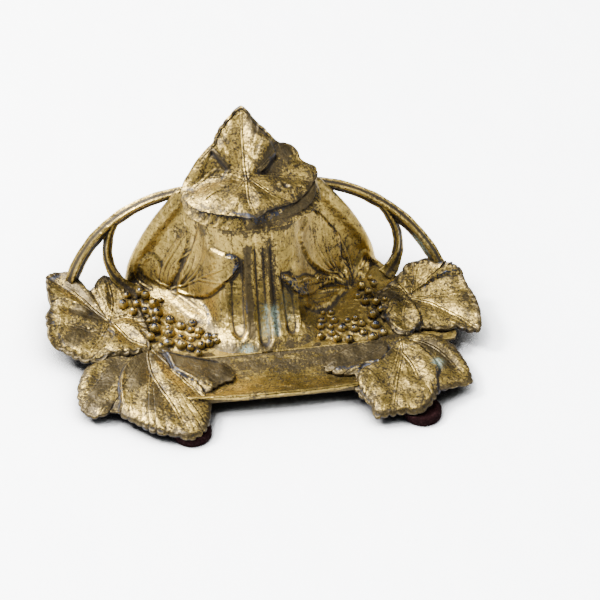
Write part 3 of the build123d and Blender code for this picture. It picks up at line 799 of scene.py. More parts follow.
def make_well():
    build = Builder()
    around = int(200 * FINE)
    wall = 2.4
    profile = [
        (CUP_RADIUS, DECK_TOP + 0.1), (CUP_RADIUS + 0.5, DECK_TOP + 1.4), (CUP_RADIUS, DECK_TOP + 2.6),
        (CUP_RADIUS, 20), (CUP_RADIUS + 0.35, 21), (CUP_RADIUS + 0.35, 22), (CUP_RADIUS, 23),
        (CUP_RADIUS, 48), (CUP_RADIUS - 0.1, NECK_TOP - 0.6), (CUP_RADIUS - 0.6, NECK_TOP - 0.1),
        (CUP_RADIUS - wall, NECK_TOP - 0.1), (CUP_RADIUS - wall, 30), (CUP_RADIUS - wall, DECK_TOP + 0.1),
    ]
    build.lathe(profile, AXIS_X, WELL_Y, around)
    top_line = bell_grid(12, 160)[-1][:, :2]
    angles = np.linspace(0, 2 * math.pi, around, endpoint=False)
    reach = np.maximum(ray_reach(top_line, AXIS_X, RIM_Y - 0.3, angles), CUP_RADIUS)
    front = np.sin(angles) < 0.02
    outer = np.where(front, reach, CUP_RADIUS)
    rows = int(24 * FINE) + 4
    t = np.linspace(0, 1, rows)[:, None]
    r = HOLE_RADIUS + (outer - HOLE_RADIUS - 0.3) * t
    x = AXIS_X + r * np.cos(angles)
    y = WELL_Y + r * np.sin(angles)
    z = NECK_TOP + 0 * x - 0.02
    top = np.stack([x, y, z], axis=-1)
    build.sheet(top, top - (0, 0, TOP_PLATE), wrap=True, hole=True, rounding=0.2)
    well = build.make("well_cup", "stand", "gilt_brass", "well_housing")
    age(well)
    return well


# ---------------------------------------------------------------- tray
DECK_OUTLINE = [(-46, 44), (-54, 33), (-57, 14), (-55, -4), (-47, -15), (-33, -19), (0, -19.6),
                (38, -19), (52, -20), (68, -21.5), (77.5, -20.5), (78, -15), (66, -7), (62.5, 2),
                (62.5, 14), (55, 33), (44, 44), (26, 57.5), (-1.5, 64), (-29, 57.5)]


def make_deck():
    """The thin cast face of the tray, with a raised rim round its back."""
    cols, rows = int(480 * FINE), int(60 * FINE)
    edge = spline(DECK_OUTLINE, cols, closed=True)
    t = (np.linspace(0.02, 1, rows) ** 0.8)[:, None, None]
    middle = np.array([0, 22.0])
    flat = middle + (edge - middle) * t
    x, y = flat[..., 0], flat[..., 1]
    depth = np.linalg.norm(edge - middle, axis=1) * (1 - t[..., 0])
    z = DECK_TOP + 0.35 + 0.1 * ripple(x, y, 12, 3)
    z = z + 0.5 * ridge(depth - 1.2, 1.1) * smooth_step((y - 16) / 12)
    z = z - 0.3 * smooth_step((-12 - y) / 5)
    z = z + 0.6 * ridge(np.hypot(x - AXIS_X, y - WELL_Y) - CUP_RADIUS, 1.6)
    top = np.stack([x, y, z], axis=-1)
    under = np.stack([x, y, np.full(x.shape, DECK_TOP - 0.4)], axis=-1)
    build = Builder()
    build.sheet(top, under, wrap=True, rounding=0.3)
    deck = build.make("deck_face", "stand", "gilt_brass")
    age(deck)
    return deck


# The channel's section: y and height, from the crease at the back to under the front lip.
CHANNEL = [(-17.5, 7.4), (-20.2, 7.4), (-23, 6.8), (-28, 6.1), (-33, 5.9), (-38, 6.4), (-41.6, 7.2),
           (-43.4, 7.8), (-44.2, 8.5), (-45, 8.7), (-45.7, 8.2), (-45.7, 7.2), (-45.3, 6.1)]


def make_channel():
    cols, rows = int(300 * FINE), int(140 * FINE)
    section = spline(CHANNEL, rows)
    x = np.linspace(-36, 41, cols)[None, :] + 0 * section[:, :1]
    y = section[:, :1] + 0 * x
    z = section[:, 1:] + 0.1 * ripple(x, y, 11, 4) * smooth_step((-19 - y) / 3)
    y = y + 1.6 * ((x - 2.5) / 38) ** 2 * smooth_step((-38 - y) / 6)
    top = np.stack([x, y, z], axis=-1)
    under = np.stack([x, np.clip(y, -44.6, None), np.minimum(z - 0.7, 7.4)], axis=-1)
    build = Builder()
    build.sheet(top[:, ::-1], under[:, ::-1], rounding=0.2)
    channel = build.make("pen_channel", "stand", "gilt_brass")
    # The dull band over the channel's back half is tarnish plus painted shade on that forward-facing slope.
    age(channel, worn=[([(-15, -25), (12, -27), (30, -26)], 2.5, 0.45)],
        dull=[([(-20, -24), (12, -26), (32, -26)], 5, 0.7)])
    return channel


# ---------------------------------------------------------------- vine leaves
def side_veins(veins, spacing=5.2, length=7.0):
    """Fine branches that leave each vein alternately on both sides."""
    branches = []
    for vein in veins:
        line = spline(vein, 30)
        run = np.linalg.norm(np.diff(line, axis=0), axis=1).sum()
        count = int(run / spacing)
        for k in range(1, count + 1):
            at = int(29 * k / (count + 1))
            heading = line[min(at + 1, 29)] - line[at - 1]
            heading = math.atan2(heading[1], heading[0])
            side = 1 if k % 2 else -1
            turn = heading + side * 0.8
            reach = length * (1.1 - 0.6 * at / 29)
            mid = line[at] + 0.55 * reach * np.array([math.cos(turn), math.sin(turn)])
            turn -= side * 0.25
            end = mid + 0.5 * reach * np.array([math.cos(turn), math.sin(turn)])
            branches.append([line[at], mid, end])
    return branches


def toothed(edge, spacing, size, seed):
    """An outline with rounded teeth and sharp notches, uneven as a real leaf's are."""
    step = np.roll(edge, -1, axis=0) - np.roll(edge, 1, axis=0)
    out = np.stack([step[:, 1], -step[:, 0]], axis=1)
    out /= np.maximum(np.linalg.norm(out, axis=1, keepdims=True), 1e-9)
    length = np.cumsum(np.linalg.norm(step[:, :2], axis=1) / 2)
    count = max(round(length[-1] / spacing), 3)
    phase = length / length[-1] * count * math.pi
    phase = phase + 0.8 * np.sin(phase / count * 14 + seed)
    tooth = np.abs(np.sin(phase)) ** 0.55
    size = size * (0.75 + 0.35 * np.sin(phase * 0.37 + seed * 2))
    moved = edge.copy()
    moved[:, :2] += out * (size * (tooth - 0.65))[:, None]
    return moved, phase


def leaf_height(x, y, depth, veins, folds, lobes, seed, phase, swell=0.9, crimp=0.3, branching=0.12):
    """Relief over a leaf: swollen panels between scored veins, lobes, folds and a crimped margin."""
    nearest = np.full(x.shape, 1e9)
    height = np.zeros(x.shape)
    for vein in veins:
        away, _, _ = line_distance(x, y, spline(vein, 24))
        nearest = np.minimum(nearest, away)
        height += scored(x, y, vein, 0.15, 0.3, 0.13)
    for branch in side_veins(veins):
        away, _, along = line_distance(x, y, branch)
        height -= branching * (1 - 0.7 * along) * ridge(away, 0.35)
    from_stem = np.hypot(x - veins[0][0][0], y - veins[0][0][1])
    height += swell * (1 - ridge(nearest, 3.2)) * smooth_step(depth / 5) * smooth_step(from_stem / 11)
    height += 0.3 * ripple(x, y, 12, seed) + 0.05 * ripple(x, y, 4.5, seed + 1)
    for line, lift, reach in folds:
        height += folded(x, y, line, lift, reach)
    for outline, lift, curl in lobes:
        height += raised(x, y, outline, lift, 0.9, 0.25 * curl, 0.8)
    height += 0.4 * crimp * np.cos(2 * phase)[None, :] * ridge(depth, 2.2)
    return height


def make_leaf(name, node, outline, middle, veins, folds, lobes, seed, lift, worn, dull, green=(),
              teeth=(3.9, 1.2), crimp=0.3):
    """A cast leaf fanned out from its stem point; its outline carries heights."""
    cols, rows = int(600 * FINE), int(78 * FINE)
    edge, phase = toothed(spline(outline, cols, closed=True), *teeth, seed)
    t = (np.linspace(0.03, 1, rows) ** 0.85)[:, None]
    middle = np.array(middle, float)
    x = middle[0] + (edge[:, 0] - middle[0]) * t
    y = middle[1] + (edge[:, 1] - middle[1]) * t
    z = middle[2] + (edge[:, 2] - middle[2]) * t ** 1.3
    depth = np.linalg.norm(edge[:, :2] - middle[:2], axis=1) * (1 - t)
    base = np.stack([x, y, z], axis=-1)
    relief = leaf_height(x, y, depth, veins, folds, lobes, seed, phase, crimp=crimp)
    relief = relief + 0.6 * lift * ridge(depth, 1.8)
    top = base + np.stack([0 * x, 0 * x, relief], axis=-1)
    under = base - np.stack([0 * x, 0 * x, 1.5 + 0 * x - 0.5 * relief * ridge(depth, 3)], axis=-1)
    build = Builder()
    build.sheet(top, under, wrap=True)
    leaf = build.make(name, "stand", "gilt_brass", node)
    rubbed_folds = [(spline(line, 16).tolist(), 0.45, 0.8) for line, _, _ in folds]
    margin = (edge[::6, :2].tolist(), 1.1, 0.7)
    age(leaf, worn=[*worn, *rubbed_folds], green=green, dull=[margin, *dull], shade=0.45)
    return leaf


def rear_left_leaf():
    outline = [(-80.2, 34.9, 15), (-88.5, 35.1, 14), (-89, 30, 14), (-88.5, 21.2, 13), (-87.8, 17, 12),
               (-89.6, 9.9, 13), (-89.3, 3.2, 12), (-89, -2.6, 11), (-87.1, -4.8, 9), (-82.9, -8, 8),
               (-75.7, -14.1, 8), (-71.4, -15.5, 8), (-64, -14, 9), (-56, -14.5, 9.5), (-49.9, -13, 10),
               (-49.1, -4.7, 11), (-50.7, 5.9, 11), (-55.2, 22.6, 11), (-58.2, 28.2, 12),
               (-64.7, 31.7, 14), (-67.1, 31, 13), (-71.2, 26.2, 11), (-76.1, 32.3, 14)]
    veins = [[(-64.3, 7.5), (-70.3, 15), (-77.3, 24), (-87, 34)],
             [(-64.3, 7), (-69.2, 3.4), (-73, 2.7), (-81.4, 5.6), (-88, 5.8)],
             [(-64, 6.6), (-60, -0.9), (-56, -7), (-50, -12)],
             [(-64.2, 8), (-62.3, 17), (-63, 26), (-64, 31)],
             [(-64.3, 6.7), (-67.8, -1.5), (-72, -7.8), (-73.9, -13.4)],
             [(-61.6, 9.8), (-56, 7.7), (-50.6, 4.6)]]
    folds = [([(-71, 12.5), (-76.5, 16.3), (-83, 19.3), (-87.9, 18.8)], 1.5, 7),
             ([(-65.4, 2), (-62.8, -1.4), (-64.2, -7.2), (-67.2, -10.2)], 1.0, 5)]
    lobes = [([(-63, 10), (-66, 18), (-68, 26), (-64.5, 31), (-59, 28), (-56, 22), (-54, 12),
               (-58, 9)], 0.5, 0.4),
             ([(-64, 4), (-66.5, -3), (-68, -9), (-72, -14.5), (-64, -13.5), (-56, -14), (-50, -12.5),
               (-52, -4), (-58, 3)], 0.7, 0.5)]
    worn = [([(-88, 34), (-84, 34.5)], 1.2, 0.8), ([(-88, 12), (-87, 2), (-83, -6)], 1.0, 0.7)]
    dull = [([(-70, 10.5), (-76, 12.5)], 4, 1.0), ([(-76, 2), (-80, -3)], 5, 0.7),
            ([(-72, 21), (-78, 28)], 3, 0.6)]
    return make_leaf("leaf_rear_left", "rear_left_leaf", outline, (-64.3, 7.2, 9.4), veins, folds,
                     lobes, 3, lift=1.0, teeth=(5.2, 1.1), crimp=0.8, worn=worn, dull=dull)


def front_left_leaf():
    outline = [(-52, -8, 9.5), (-65.1, -10.1, 8), (-71.5, -15.9, 8), (-75.4, -19.5, 8), (-78.6, -27.7, 7),
               (-78.3, -38.7, 6), (-76.7, -41.8, 5), (-73.1, -44.6, 5), (-64.4, -43, 6), (-62.6, -46, 6),
               (-56, -51.7, 5.4), (-50.1, -56.6, 5.2), (-42.4, -59.6, 5.2), (-37.4, -62.2, 5.2),
               (-33, -60.5, 5.2), (-29.3, -55.5, 5.4), (-27.3, -43.5, 6.5), (-28.2, -39.6, 7.5),
               (-26, -37.9, 8), (-21.2, -34.5, 8), (-17, -33.4, 8), (-16.6, -27.8, 8),
               (-18.6, -26.1, 9), (-30.8, -21.9, 9), (-41.2, -14.6, 9.5), (-44, -9, 10)]
    veins = [[(-49.3, -12), (-50, -18.7), (-48.8, -28.7), (-45.7, -37.2), (-42.6, -44.8), (-37.6, -60)],
             [(-49.3, -12.9), (-56.7, -16), (-63.4, -19.3), (-69, -24.2), (-75, -33.9)],
             [(-49.3, -12.9), (-43.8, -19.5), (-39, -28.5), (-34.3, -35.6), (-29.7, -44.3)]]
    folds = [([(-64, -45), (-62.5, -39.7), (-62.6, -32.5), (-61, -24.6), (-57.9, -18.8),
               (-52.6, -13.3)], -1.0, 8),
             ([(-31.2, -34.5), (-37.4, -28.7), (-39.9, -25.9), (-41.6, -19.8), (-43.9, -13.6)], -1.0, 6)]
    lobes = [([(-49, -14), (-56, -19), (-60.5, -25), (-62, -33), (-62.3, -42), (-63, -45.5), (-56, -51.5),
               (-46, -58), (-37, -61.5), (-31, -59), (-28, -50), (-28, -43.5), (-31, -35.5), (-37.5, -29),
               (-41, -24), (-44, -17)], 0.7, 0.5)]
    worn = [([(-62.5, -30), (-62.2, -37)], 1.0, 1.0), ([(-42, -17), (-41, -22), (-38, -27)], 0.6, 1.0)]
    dull = [([(-33, -23), (-22, -30)], 5.5, 1.3), ([(-44, -18), (-38, -23)], 4, 1.1),
            ([(-52, -20), (-56, -30)], 5, 1.1), ([(-63, -20), (-72, -34)], 4, 0.9),
            ([(-47, -36), (-50, -44)], 4, 0.6), ([(-66, -40), (-76, -40)], 3, 0.8)]
    return make_leaf("leaf_front_left", "front_left_leaf", outline, (-48.8, -13.4, 9.6), veins, folds,
                     lobes, 7, lift=-0.3, worn=worn, dull=dull)


def front_right_leaf():
    outline = [(50, -18, 9.5), (42, -20.6, 9.5), (31.4, -22.7, 9), (23.1, -27.2, 8), (21.4, -32.3, 8),
               (27.5, -36.6, 8), (33, -37.6, 8), (32, -44.4, 7.5), (33.5, -49.4, 6.8), (36.3, -53, 6),
               (37.3, -60.3, 5.4), (42.4, -60.3, 5.8), (49.8, -59.9, 6), (54.5, -60.9, 6),
               (59.5, -57.8, 7), (64.1, -51.9, 8), (67.5, -50.6, 8), (71.8, -48.6, 7),
               (78.6, -46.3, 6), (79.1, -40, 7), (78.2, -35, 8), (74.1, -24.9, 9), (69, -20, 9.4),
               (59, -17.5, 9.6)]
    veins = [[(54.3, -20.7), (53.4, -29.8), (50.4, -39.2), (47.3, -49), (44, -60)],
             [(53.4, -29.8), (56.3, -38.5), (57, -44)],
             [(53.3, -26), (49.1, -36.7), (44.9, -45.8)],
             [(54.2, -21.5), (46, -25), (36, -30), (27, -32.5)],
             [(58.5, -21.3), (66.2, -26.3), (72.1, -34.7), (76.6, -44.3)]]
    folds = [([(64, -52.1), (64.5, -44.8), (66.5, -39.9), (64.7, -33.7), (61.1, -26.3),
               (56.8, -22.6)], 0.8, 8),
             ([(48.9, -23.8), (47.6, -28.2), (42.6, -33.6), (36.4, -33.5), (34.1, -36.9)], -0.8, 6)]
    lobes = [([(54, -23), (49, -27), (43, -33), (35, -36.5), (33, -44), (36.5, -53), (38, -59.6),
               (50, -59.5), (55, -60.4), (60, -56.5), (64, -51), (64.2, -44), (66, -40),
               (63.5, -32), (58, -24)], 0.7, 0.6)]
    worn = [([(26, -34), (34, -34.5), (42, -33)], 1.2, 0.9), ([(64.5, -34), (66, -43)], 1.0, 0.7)]
    dull = [([(25, -29), (43, -26.5)], 5, 1.5), ([(66, -25), (71, -36)], 4, 0.7)]
    green = [([(66, -38), (67.5, -36)], 1.8, 0.9)]
    return make_leaf("leaf_front_right", "front_right_leaf", outline, (54.2, -22.2, 9.8), veins, folds,
                     lobes, 11, lift=-0.3, worn=worn, dull=dull, green=green)


def rear_right_leaf():
    outline = [(54.7, 11.5, 11), (49.6, 8.6, 10.4), (49.4, 1, 10.4), (49.6, -5.3, 10.2), (51.2, -8.6, 10.2),
               (52.9, -15.2, 10), (57.2, -18.6, 9.6), (62.2, -16, 10), (65.4, -15, 10), (73.2, -17, 9.6),
               (78.6, -16.3, 10), (83.5, -19.2, 9.6), (87.6, -19.4, 10), (89.4, -11.8, 12),
               (89, -0.8, 13), (86.8, 7, 14.6), (86.3, 12.9, 16), (82.8, 16.3, 16.6), (78, 16.6, 16.4),
               (75.6, 18.6, 15.6), (74.1, 22.6, 15.2), (68.2, 22.2, 14.6), (64.9, 21.4, 14),
               (61, 17, 13)]
    veins = [[(62.9, 4.5), (67.6, 8.4), (74, 13.4), (80.3, 17), (83.6, 15.6)],
             [(63.2, 4.5), (65.9, 10), (67.6, 15.9), (70.3, 21.5)],
             [(63.3, 3.3), (69.2, 0), (74.5, -4.8), (80.9, -11.3), (86.6, -18.6)],
             [(63.4, 3.7), (69.3, 2.8), (76.5, 4.7), (82.9, 5.4)],
             [(62.8, 3.3), (60.2, -1.2), (57.7, -8.9), (56.9, -17)],
             [(62, 6), (59.9, 11.2), (58.5, 14)]]
    folds = [([(69.6, 7.3), (73.3, 9.7), (77.8, 11.2), (86, 11.6)], 0.7, 6),
             ([(58.6, -18), (63, -15.9), (64.7, -11.4), (64, -5.7), (63.3, -0.8)], 0.6, 5),
             ([(57.8, 5.7), (52.9, -1), (50.6, -6), (51.4, -10.3)], 0.8, 5)]
    lobes = [([(63, 1), (64.3, -5.7), (65, -11.4), (63, -15.6), (57.5, -18), (53.4, -14.6), (51.4, -8.6),
               (55, -2), (60, 1.5)], 0.8, 0.6),
             ([(62, 6), (58, 9), (52, 9.2), (50.2, 5), (50.4, 0), (54, -1), (59, 2)], 0.6, 0.4),
             ([(63.5, 6), (66, 12), (68, 20), (73, 22), (77, 18), (82, 16.6), (85.6, 12.6), (85, 10.5),
               (78, 10.8), (72, 9)], 0.8, 0.9)]
    worn = [([(78, 17), (84, 15.6)], 1.0, 0.8)]
    dull = [([(51, 6), (56, 4)], 3, 0.9), ([(85, -12), (86, 0)], 2.2, 0.4)]
    return make_leaf("leaf_rear_right", "rear_right_leaf", outline, (63.2, 4, 10.8), veins, folds,
                     lobes, 5, lift=0.6, teeth=(4.4, 1.1), crimp=0.5, worn=worn, dull=dull)


# ---------------------------------------------------------------- grapes
# Each berry: x, y and radius. Each ground: the outline of the cast skin under a bunch.
LEFT_GRAPES = [
    (-56, 20, 1.8), (-58, 14, 2.5), (-52, 14, 2.2), (-50, 22, 2.5), (-48, 19, 2.2), (-42, 18, 1.6),
    (-45, 15, 2.6), (-54, 9.4, 2.1), (-49, 8.7, 1.9), (-44, 9.4, 2.5), (-45, 4.2, 2.2), (-47.5, 2, 1.5),
    (-45.6, -2.2, 2.5), (-48, -7, 2.2), (-39, 4.7, 2.5), (-35, 0, 2.5), (-40, -1, 1.9), (-40, -4.3, 2.6),
    (-41, -10, 2.9), (-35.5, -7.5, 2.1), (-35.6, -12, 2.6), (-30, 1.3, 2.5), (-31, -3, 1.8),
    (-27.7, -4.7, 2.2), (-28.6, -7.6, 1.6), (-31.5, -8.9, 1.6), (-32, -14, 1.9), (-27.7, -13.3, 2.1),
    (-24.4, -8.2, 2.2), (-21.4, -8.6, 2.1), (-21, -11.7, 1.8), (-24.3, -12.5, 2.1), (-29, -17.7, 1.9),
    (-44, -11.4, 1.8),
]
RIGHT_GRAPES = [
    (48, 17.5, 1.5), (44, 15, 2.2), (49, 13.5, 2.2), (41.5, 9.6, 2), (46, 9.4, 2), (44, 4.4, 2.2),
    (48, 1.8, 1.9), (52, 2.8, 1.3), (25, 0.2, 1.3), (28.5, 0.1, 1.6), (24, -4.5, 2.1), (29, -5.2, 2.1),
    (23, -8.3, 1.9), (27, -8.9, 1.7), (31.5, -10.3, 2.6), (27, -13.2, 1.9), (22, -14.5, 1.9),
    (28.5, -16.5, 1.9), (33.4, -17.6, 2.2), (36.7, -11.8, 2.2), (40.2, -8.8, 2), (40, -14.3, 1.9),
    (45.5, -5, 2.2), (48.8, -4, 1.6), (45.8, -10.7, 2.6), (43.5, -17.6, 2.4), (48.2, -15.8, 2.2),
    (38, -5, 1.7), (34.5, -6, 1.5),
]
GRAPE_Z = 9.4
LEFT_GROUND = [(-58, 12), (-56, 20), (-45, 23), (-42, 14), (-40, 5), (-30, 2), (-20, -7), (-24, -15),
               (-35, -17), (-49, -9), (-50, 2), (-56, 8)]
RIGHT_GROUND = [(42, 16), (50, 15), (50, 5), (52, -4), (50, -15), (43, -19), (30, -18), (21, -15),
                (22, 1), (30, 1), (34, -5), (40, -5), (41, 6)]


def make_grapes(name, node, spots, ground):
    """Berries of uneven size, each pressed a little into the cast ground around it."""
    build = Builder()
    for i, (x, y, r) in enumerate(spots):
        r = r * (0.86 + 0.05 * math.sin(i * 2.3))
        over_leaf = smooth_step((abs(x) - 42) / 6) * smooth_step((y + 12) / 8)
        z = GRAPE_Z + 0.3 * math.sin(i * 1.7) + 2.8 * over_leaf
        build.ball((x, y, z), (r, r * (1 + 0.06 * math.sin(i)), r * 1.06))
    cols, rows = int(220 * FINE), int(60 * FINE)
    edge = spline(ground, cols, closed=True)
    middle = edge.mean(axis=0)
    t = np.linspace(0.03, 1, rows)[:, None, None]
    flat = middle + (edge - middle) * t
    x, y = flat[..., 0], flat[..., 1]
    z = np.full(x.shape, DECK_TOP + 0.6)
    for gx, gy, r in spots:
        z = z + 0.45 * ridge(np.hypot(x - gx, y - gy) - 0.8 * r, 0.7)
    z = z + 0.1 * ripple(x, y, 5, 6) - 1.2 * smooth_step((t[..., 0] - 0.8) / 0.2)
    top = np.stack([x, y, z], axis=-1)
    under = np.stack([x, y, np.full(x.shape, DECK_TOP - 0.3)], axis=-1)
    build.sheet(top, under, wrap=True, rounding=0.3)
    bunch = build.make(name, "stand", "gilt_brass", node)
    age(bunch, tops=0.95)
    return bunch


# ---------------------------------------------------------------- handles and tendrils
def arc_points(start, middle, end, count):
    """Evenly spaced points on the arc through three points."""
    a, b, c = (np.array(p, float) for p in (start, middle, end))
    ab, ac = b - a, c - a
    across = np.cross(ab, ac)
    to_centre = np.cross(across, ab) * (ac @ ac) + np.cross(ac, across) * (ab @ ab)
    centre = a + to_centre / (2 * across @ across)
    first = a - centre
    radius = np.linalg.norm(first)
    first /= radius
    square = np.cross(across, first)
    square /= np.linalg.norm(square)
    sweep = math.atan2((c - centre) @ square, (c - centre) @ first) % (2 * math.pi)
    turn = np.linspace(0, sweep, count)[:, None]
    return centre + radius * (np.cos(turn) * first + np.sin(turn) * square)


def band_rings(path, width, depth, face):
    """Rings of a flat band along a path; face is the way its broad side looks."""
    count = len(path)
    run = np.gradient(path, axis=0)
    run /= np.linalg.norm(run, axis=1, keepdims=True)
    face = np.broadcast_to(np.array(face, float), run.shape)
    up = face - (face * run).sum(axis=1, keepdims=True) * run
    up /= np.linalg.norm(up, axis=1, keepdims=True)
    side = np.cross(run, up)
    angle = np.linspace(0, 2 * math.pi, 44, endpoint=False)
    across = np.sign(np.cos(angle)) * np.abs(np.cos(angle)) ** 0.24
    high = np.sign(np.sin(angle)) * np.abs(np.sin(angle)) ** 0.26
    groove = 0.16 * ridge(across - 0.1, 0.22) + 0.2 * ridge(high, 0.25) * (np.abs(across) > 0.8)
    high = high - groove * (high > 0.5)
    across = across - 0.12 * np.sign(across) * ridge(high + 0.1, 0.25) * (np.abs(high) < 0.6)
    along = np.linspace(0, 1, count)
    wobble = 1 + 0.03 * np.sin(along * 31) + 0.02 * np.sin(along * 57 + 1)
    half_width = (np.interp(along, np.linspace(0, 1, len(width)), width) * wobble / 2)[:, None, None]
    half_depth = (np.interp(along, np.linspace(0, 1, len(depth)), depth) * wobble / 2)[:, None, None]
    return (
        path[:, None, :]
        + side[:, None, :] * across[None, :, None] * half_width
        + up[:, None, :] * high[None, :, None] * half_depth
    )


def make_band(name, node, path, width, depth, face, **paint):
    build = Builder()
    build.tube(band_rings(path, width, depth, face))
    band = build.make(name, "stand", "gilt_brass", node)
    age(band, shade=0.2, **paint)
    return band


# Widths and depths are spread evenly along each band, from the bell outwards or downwards.
HANDLE_WIDTHS = [3.6, 4.0, 4.4, 4.6]
HANDLE_DEPTHS = [3.6, 4.2, 4.4, 4.4]
TENDRIL_WIDTHS = [2.6, 3.4, 3.6, 4.6, 7.5]
TENDRIL_DEPTHS = [2.6, 3.2, 3.2, 3.0, 2.0]
HANDLE_ARCS = {
    "left": [(-22.5, 37.4, 51.5), (-62, 35.5, 37.5), (-79.5, 31.5, 11)],
    "right": [(19.5, 37.4, 51.5), (58, 34, 37), (79, 19.5, 13.5)],
}
TENDRIL_PATHS = {
    "left": [(-58.5, 35.6, 39.5), (-61, 34, 34.5), (-62.6, 32, 25), (-60.5, 29, 17),
             (-55.5, 26, 11.5), (-50.5, 23.5, 9)],
    "right": [(53.5, 35.2, 39.8), (57.6, 33.4, 35), (61.4, 30.6, 27), (61.8, 27.4, 18),
              (58.8, 24, 12), (55.5, 21.5, 9.5)],
}
HANDLE_PAINT = {
    "left": {"worn": [([(-70, 34, 29), (-76, 33, 20)], 2.0, 0.6)]},
    "right": {"worn": [([(30, 37, 48.5), (48, 36, 43)], 2.0, 0.6)],
              "green": [([(70, 27, 24), (74, 24, 19)], 2.0, 0.8)]},
}


def make_handles():
    bands = []
    for side, out in (("left", -1), ("right", 1)):
        arc = arc_points(*HANDLE_ARCS[side], int(240 * FINE))
        bands.append(make_band(f"handle_{side}", f"{side}_handle", arc, HANDLE_WIDTHS, HANDLE_DEPTHS,
                               (out * 0.45, -0.6, 0.9), **HANDLE_PAINT[side]))
    for side, out in (("left", -1), ("right", 1)):
        path = spline(TENDRIL_PATHS[side], int(130 * FINE))
        bands.append(make_band(f"tendril_{side}", f"{side}_tendril", path, TENDRIL_WIDTHS,
                               TENDRIL_DEPTHS, (out * 0.6, -0.3, 1)))
    return bands


# ---------------------------------------------------------------- lid
SKIRT_Z = 54.8
LID_SAG = 0.66
LID_WALL = 1.6
SKIRT_WALL = 1.5
LID_MIDDLE = (-3.6, 22.2, 65.0)
# The leaf's margin: x, y and height.
LID_EDGE = [
    (-2.6, 48.6, 84.4), (-10.1, 43.8, 80.6), (-13.9, 40, 77.8), (-15.8, 36.9, 75.4), (-19, 34.8, 73.4),
    (-22.5, 33, 70.5), (-25.5, 31.6, 66.5), (-28.4, 30.6, 62.2), (-30.4, 27.5, 58.6), (-29, 20.6, 58.6),
    (-25, 13.4, 59), (-17.8, 8, 60), (-9, 5, 60.2), (-2.4, 3.2, 59.8), (3.7, 7.2, 60.5),
    (9.4, 9.8, 60), (15.1, 13, 59), (20.3, 18.8, 58.6), (24, 24.8, 58.6), (27.2, 31, 60),
    (26.2, 33.8, 61.4), (23, 34.8, 62.6), (20.6, 36.2, 64.2), (19.8, 38.4, 66.4), (17.6, 40, 68.6),
    (14.5, 40, 70.2), (11.6, 38.6, 72), (8.8, 37.6, 76), (6.6, 39.4, 78), (3, 42.6, 80.4),
    (0, 46.4, 83.2),
]
# The ring that the skirt's foot stands on.
LID_FOOT = [(-29.5, 34), (-30.4, 26), (-29.9, 19), (-27, 12.5), (-22, 7.4), (-14, 3.6), (-6, 2.6),
            (-1.6, 1.7), (3, 2.6), (10.5, 3.6), (18.8, 7.4), (23.9, 12.5), (26.7, 19), (27.3, 26),
            (26.6, 34), (-1.5, 50)]
LID_VEINS = [
    [(-3.6, 23), (-3.8, 27.8), (-3.5, 35.7), (-2.8, 46)],
    [(-3.6, 25), (-10.5, 26.6), (-17.4, 28.4), (-26, 26.5)],
    [(-3.6, 24.4), (-8, 18.4), (-14, 13), (-17, 10.5)],
    [(-3.6, 24), (-3.9, 17.7), (-4, 11.5), (-2.3, 4.6)],
    [(-3, 24.4), (2.4, 18), (8, 13.4), (14, 12.8)],
    [(-3.2, 25), (5, 25.5), (12, 26), (21, 27)],
]
LID_FOLDS = [
    ([(-10.3, 27), (-13.2, 30.4), (-16.8, 34.4)], -1.3, 5),
    ([(2, 26), (5.1, 28.9), (9.4, 35.5)], 1.7, 5),
    ([(-22, 15.5), (-14, 19), (-7.5, 22)], 0.45, 4),
    ([(19, 19.8), (14, 20.6), (8, 21)], 0.5, 4),
]


